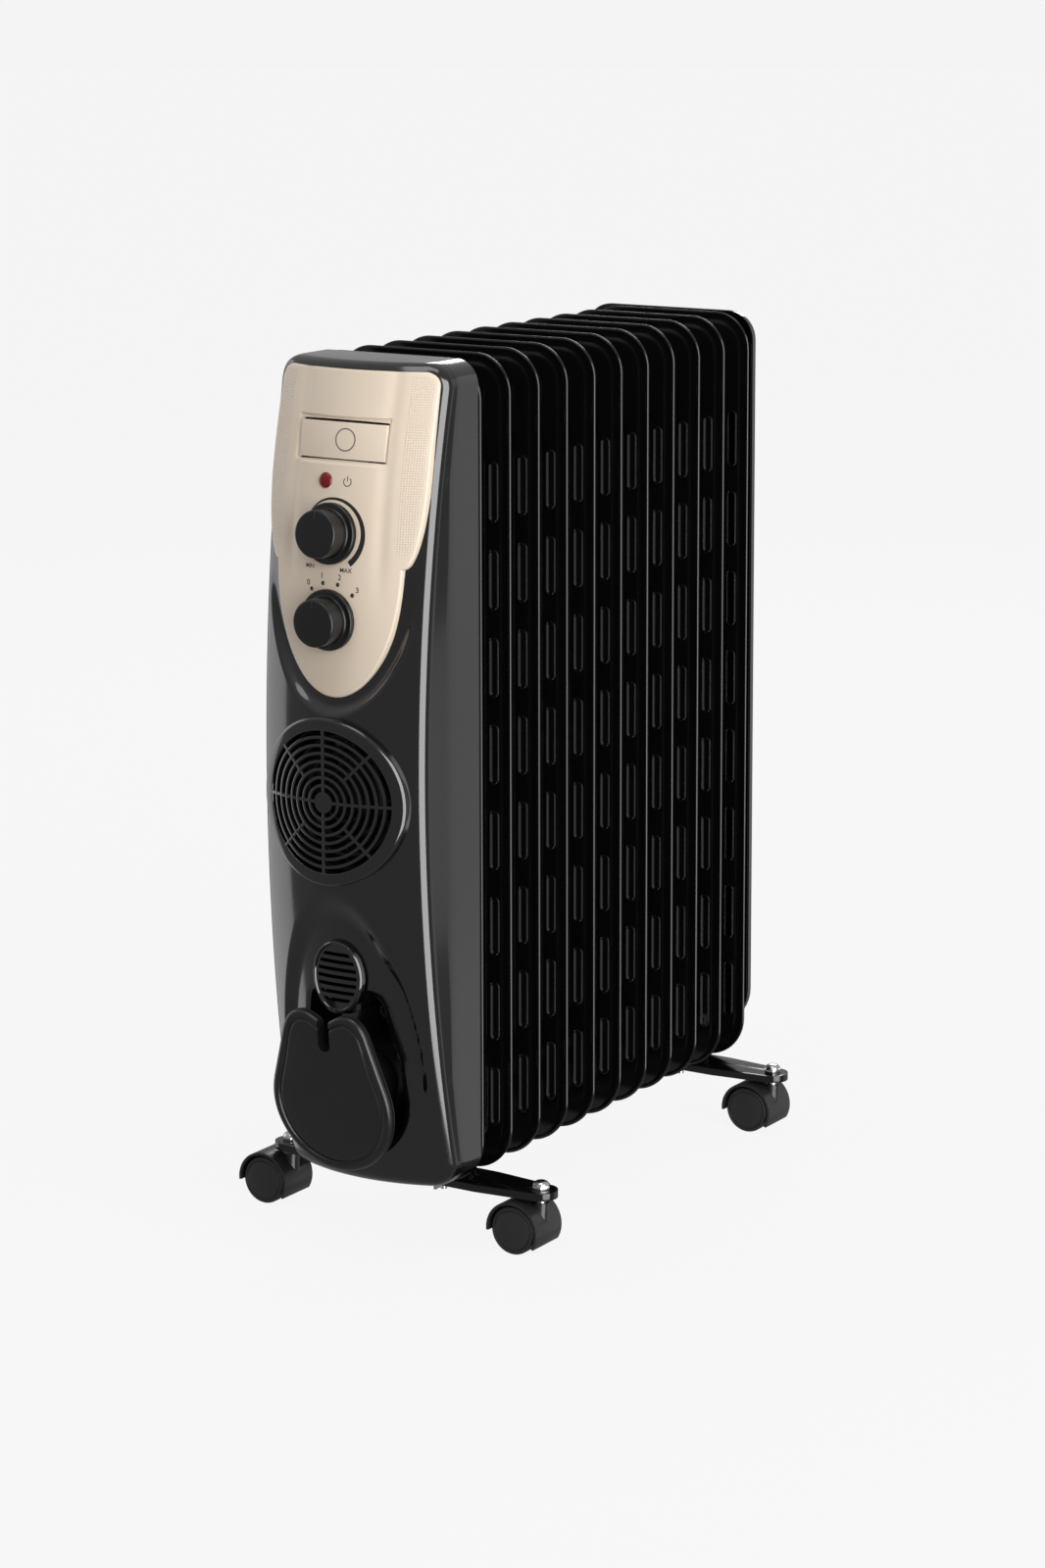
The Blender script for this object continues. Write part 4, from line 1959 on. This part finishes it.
@dataclass(frozen=True)
class Studio:
    """The camera, the pale floor, the surrounding tone and the softboxes."""

    camera: tuple[float, float, float] = (1542.457, -2260.027, 934.53)
    azimuth: float = 0.55504
    pitch: float = 0.16053
    lens: float = 91.07
    shift: tuple[float, float] = (-0.0282, -0.1449)
    backdrop: str = "#f4f4f4"
    boxes: tuple[SoftBox, ...] = (
        SoftBox("key_right", 66.0, 0.35, 2.7, 2.3, 3.2, 6.0),
        SoftBox("fill_left", -84.0, 0.3, 2.8, 1.7, 3.2, 1.1),
        SoftBox("wall_right", 142.0, 0.3, 3.0, 1.9, 3.2, 0.32),
        SoftBox("rim_back", -160.0, 1.7, 2.6, 1.3, 0.7, 6.5),
        SoftBox("top", 20.0, 3.0, 0.9, 1.6, 1.6, 2.6),
    )

    def make_camera(self) -> None:
        """Places the camera and makes it the scene's."""
        data = bpy.data.cameras.new("camera")
        data.sensor_width = 36.0
        data.sensor_fit = "AUTO"
        data.lens = self.lens
        data.shift_x, data.shift_y = self.shift
        data.clip_start = 0.05
        data.clip_end = 100.0
        item = bpy.data.objects.new("camera", data)
        item.location = Vector(DATUM.metres(self.camera).tolist())
        item.rotation_euler = (math.pi / 2 - self.pitch, 0.0, self.azimuth)
        bpy.context.scene.collection.objects.link(item)
        bpy.context.scene.camera = item

    def make_floor(self) -> None:
        """Makes the pale floor."""
        turn = np.linspace(0, 2 * math.pi, 64, endpoint=False)
        points = [(22000.0 * math.cos(a), 22000.0 * math.sin(a), -0.05) for a in turn]
        floor = new_object("floor", np.array(points), [list(range(64))])
        if floor.data.polygons[0].normal.z < 0:
            floor.data.flip_normals()
        material = bpy.data.materials.new("pale_studio_floor")
        material.use_nodes = True
        tree = material.node_tree
        tree.nodes.clear()
        pale = add_node(tree, "ShaderNodeBsdfDiffuse", None, {"Color": colour("#d8d8d8")})
        glow = add_node(tree, "ShaderNodeEmission", None, {"Color": colour(self.backdrop), "Strength": 1.04})
        seen = add_node(tree, "ShaderNodeMixShader", None, {0: 0.95, 1: pale.outputs[0], 2: glow.outputs[0]})
        dim = add_node(tree, "ShaderNodeBsdfDiffuse", None, {"Color": colour("#8a8a8a")})
        path = add_node(tree, "ShaderNodeLightPath")
        mixed = add_node(tree, "ShaderNodeMixShader", None,
                         {0: path.outputs["Is Camera Ray"], 1: dim.outputs[0], 2: seen.outputs[0]})
        add_node(tree, "ShaderNodeOutputMaterial", None, {"Surface": mixed.outputs[0]})
        floor.data.materials.append(material)
        floor.visible_glossy = False

    def make_world(self) -> None:
        """Makes a pale backdrop that lights the object more softly than it looks."""
        world = bpy.data.worlds.new("studio")
        bpy.context.scene.world = world
        world.use_nodes = True
        tree = world.node_tree
        tree.nodes.clear()
        way = add_node(tree, "ShaderNodeTexCoord").outputs["Generated"]
        axes = add_node(tree, "ShaderNodeSeparateXYZ", None, {0: way})
        tone = add_node(tree, "ShaderNodeMapRange", None, {
            "Value": axes.outputs[2], "From Min": -0.1, "From Max": 0.9, "To Min": 0.30, "To Max": 0.55})
        seen = add_node(tree, "ShaderNodeBackground", None, {"Color": colour(self.backdrop), "Strength": 1.0})
        lit = add_node(tree, "ShaderNodeBackground", None, {"Color": (1.0, 1.0, 1.0, 1.0), "Strength": tone.outputs[0]})
        path = add_node(tree, "ShaderNodeLightPath")
        mixed = add_node(tree, "ShaderNodeMixShader", None,
                         {0: path.outputs["Is Camera Ray"], 1: lit.outputs[0], 2: seen.outputs[0]})
        add_node(tree, "ShaderNodeOutputWorld", None, {"Surface": mixed.outputs[0]})

    def build(self) -> None:
        """Sets the whole studio."""
        self.make_camera()
        self.make_floor()
        self.make_world()
        for box in self.boxes:
            box.build()
        bpy.context.scene.view_settings.view_transform = "Standard"
        bpy.context.scene.view_settings.look = "None"


# ------------------------------------------------------------------ the whole


def main() -> None:
    """Builds each part of the heater and the studio, in order."""
    logging.basicConfig(level=logging.INFO, format="%(name)s: %(message)s")
    Studio().build()
    repeater = Repeater()
    form = FrontForm.from_frame()
    panel = PanelForm.from_frame(form)
    fins = FinPack(repeater)
    assemblies: list[Any] = [FrontCover(form, panel), ControlPanel(panel), Knobs(panel), FanGrille(form),
                             VentGrille(repeater), CordStore(form), fins, Headers(repeater, fins), RearCap(),
                             Chassis(), Casters()]
    for assembly in assemblies:
        LOG.info("building %s", type(assembly).__name__)
        assembly.build()
    dress_inner()


if __name__ == "__main__":
    main()
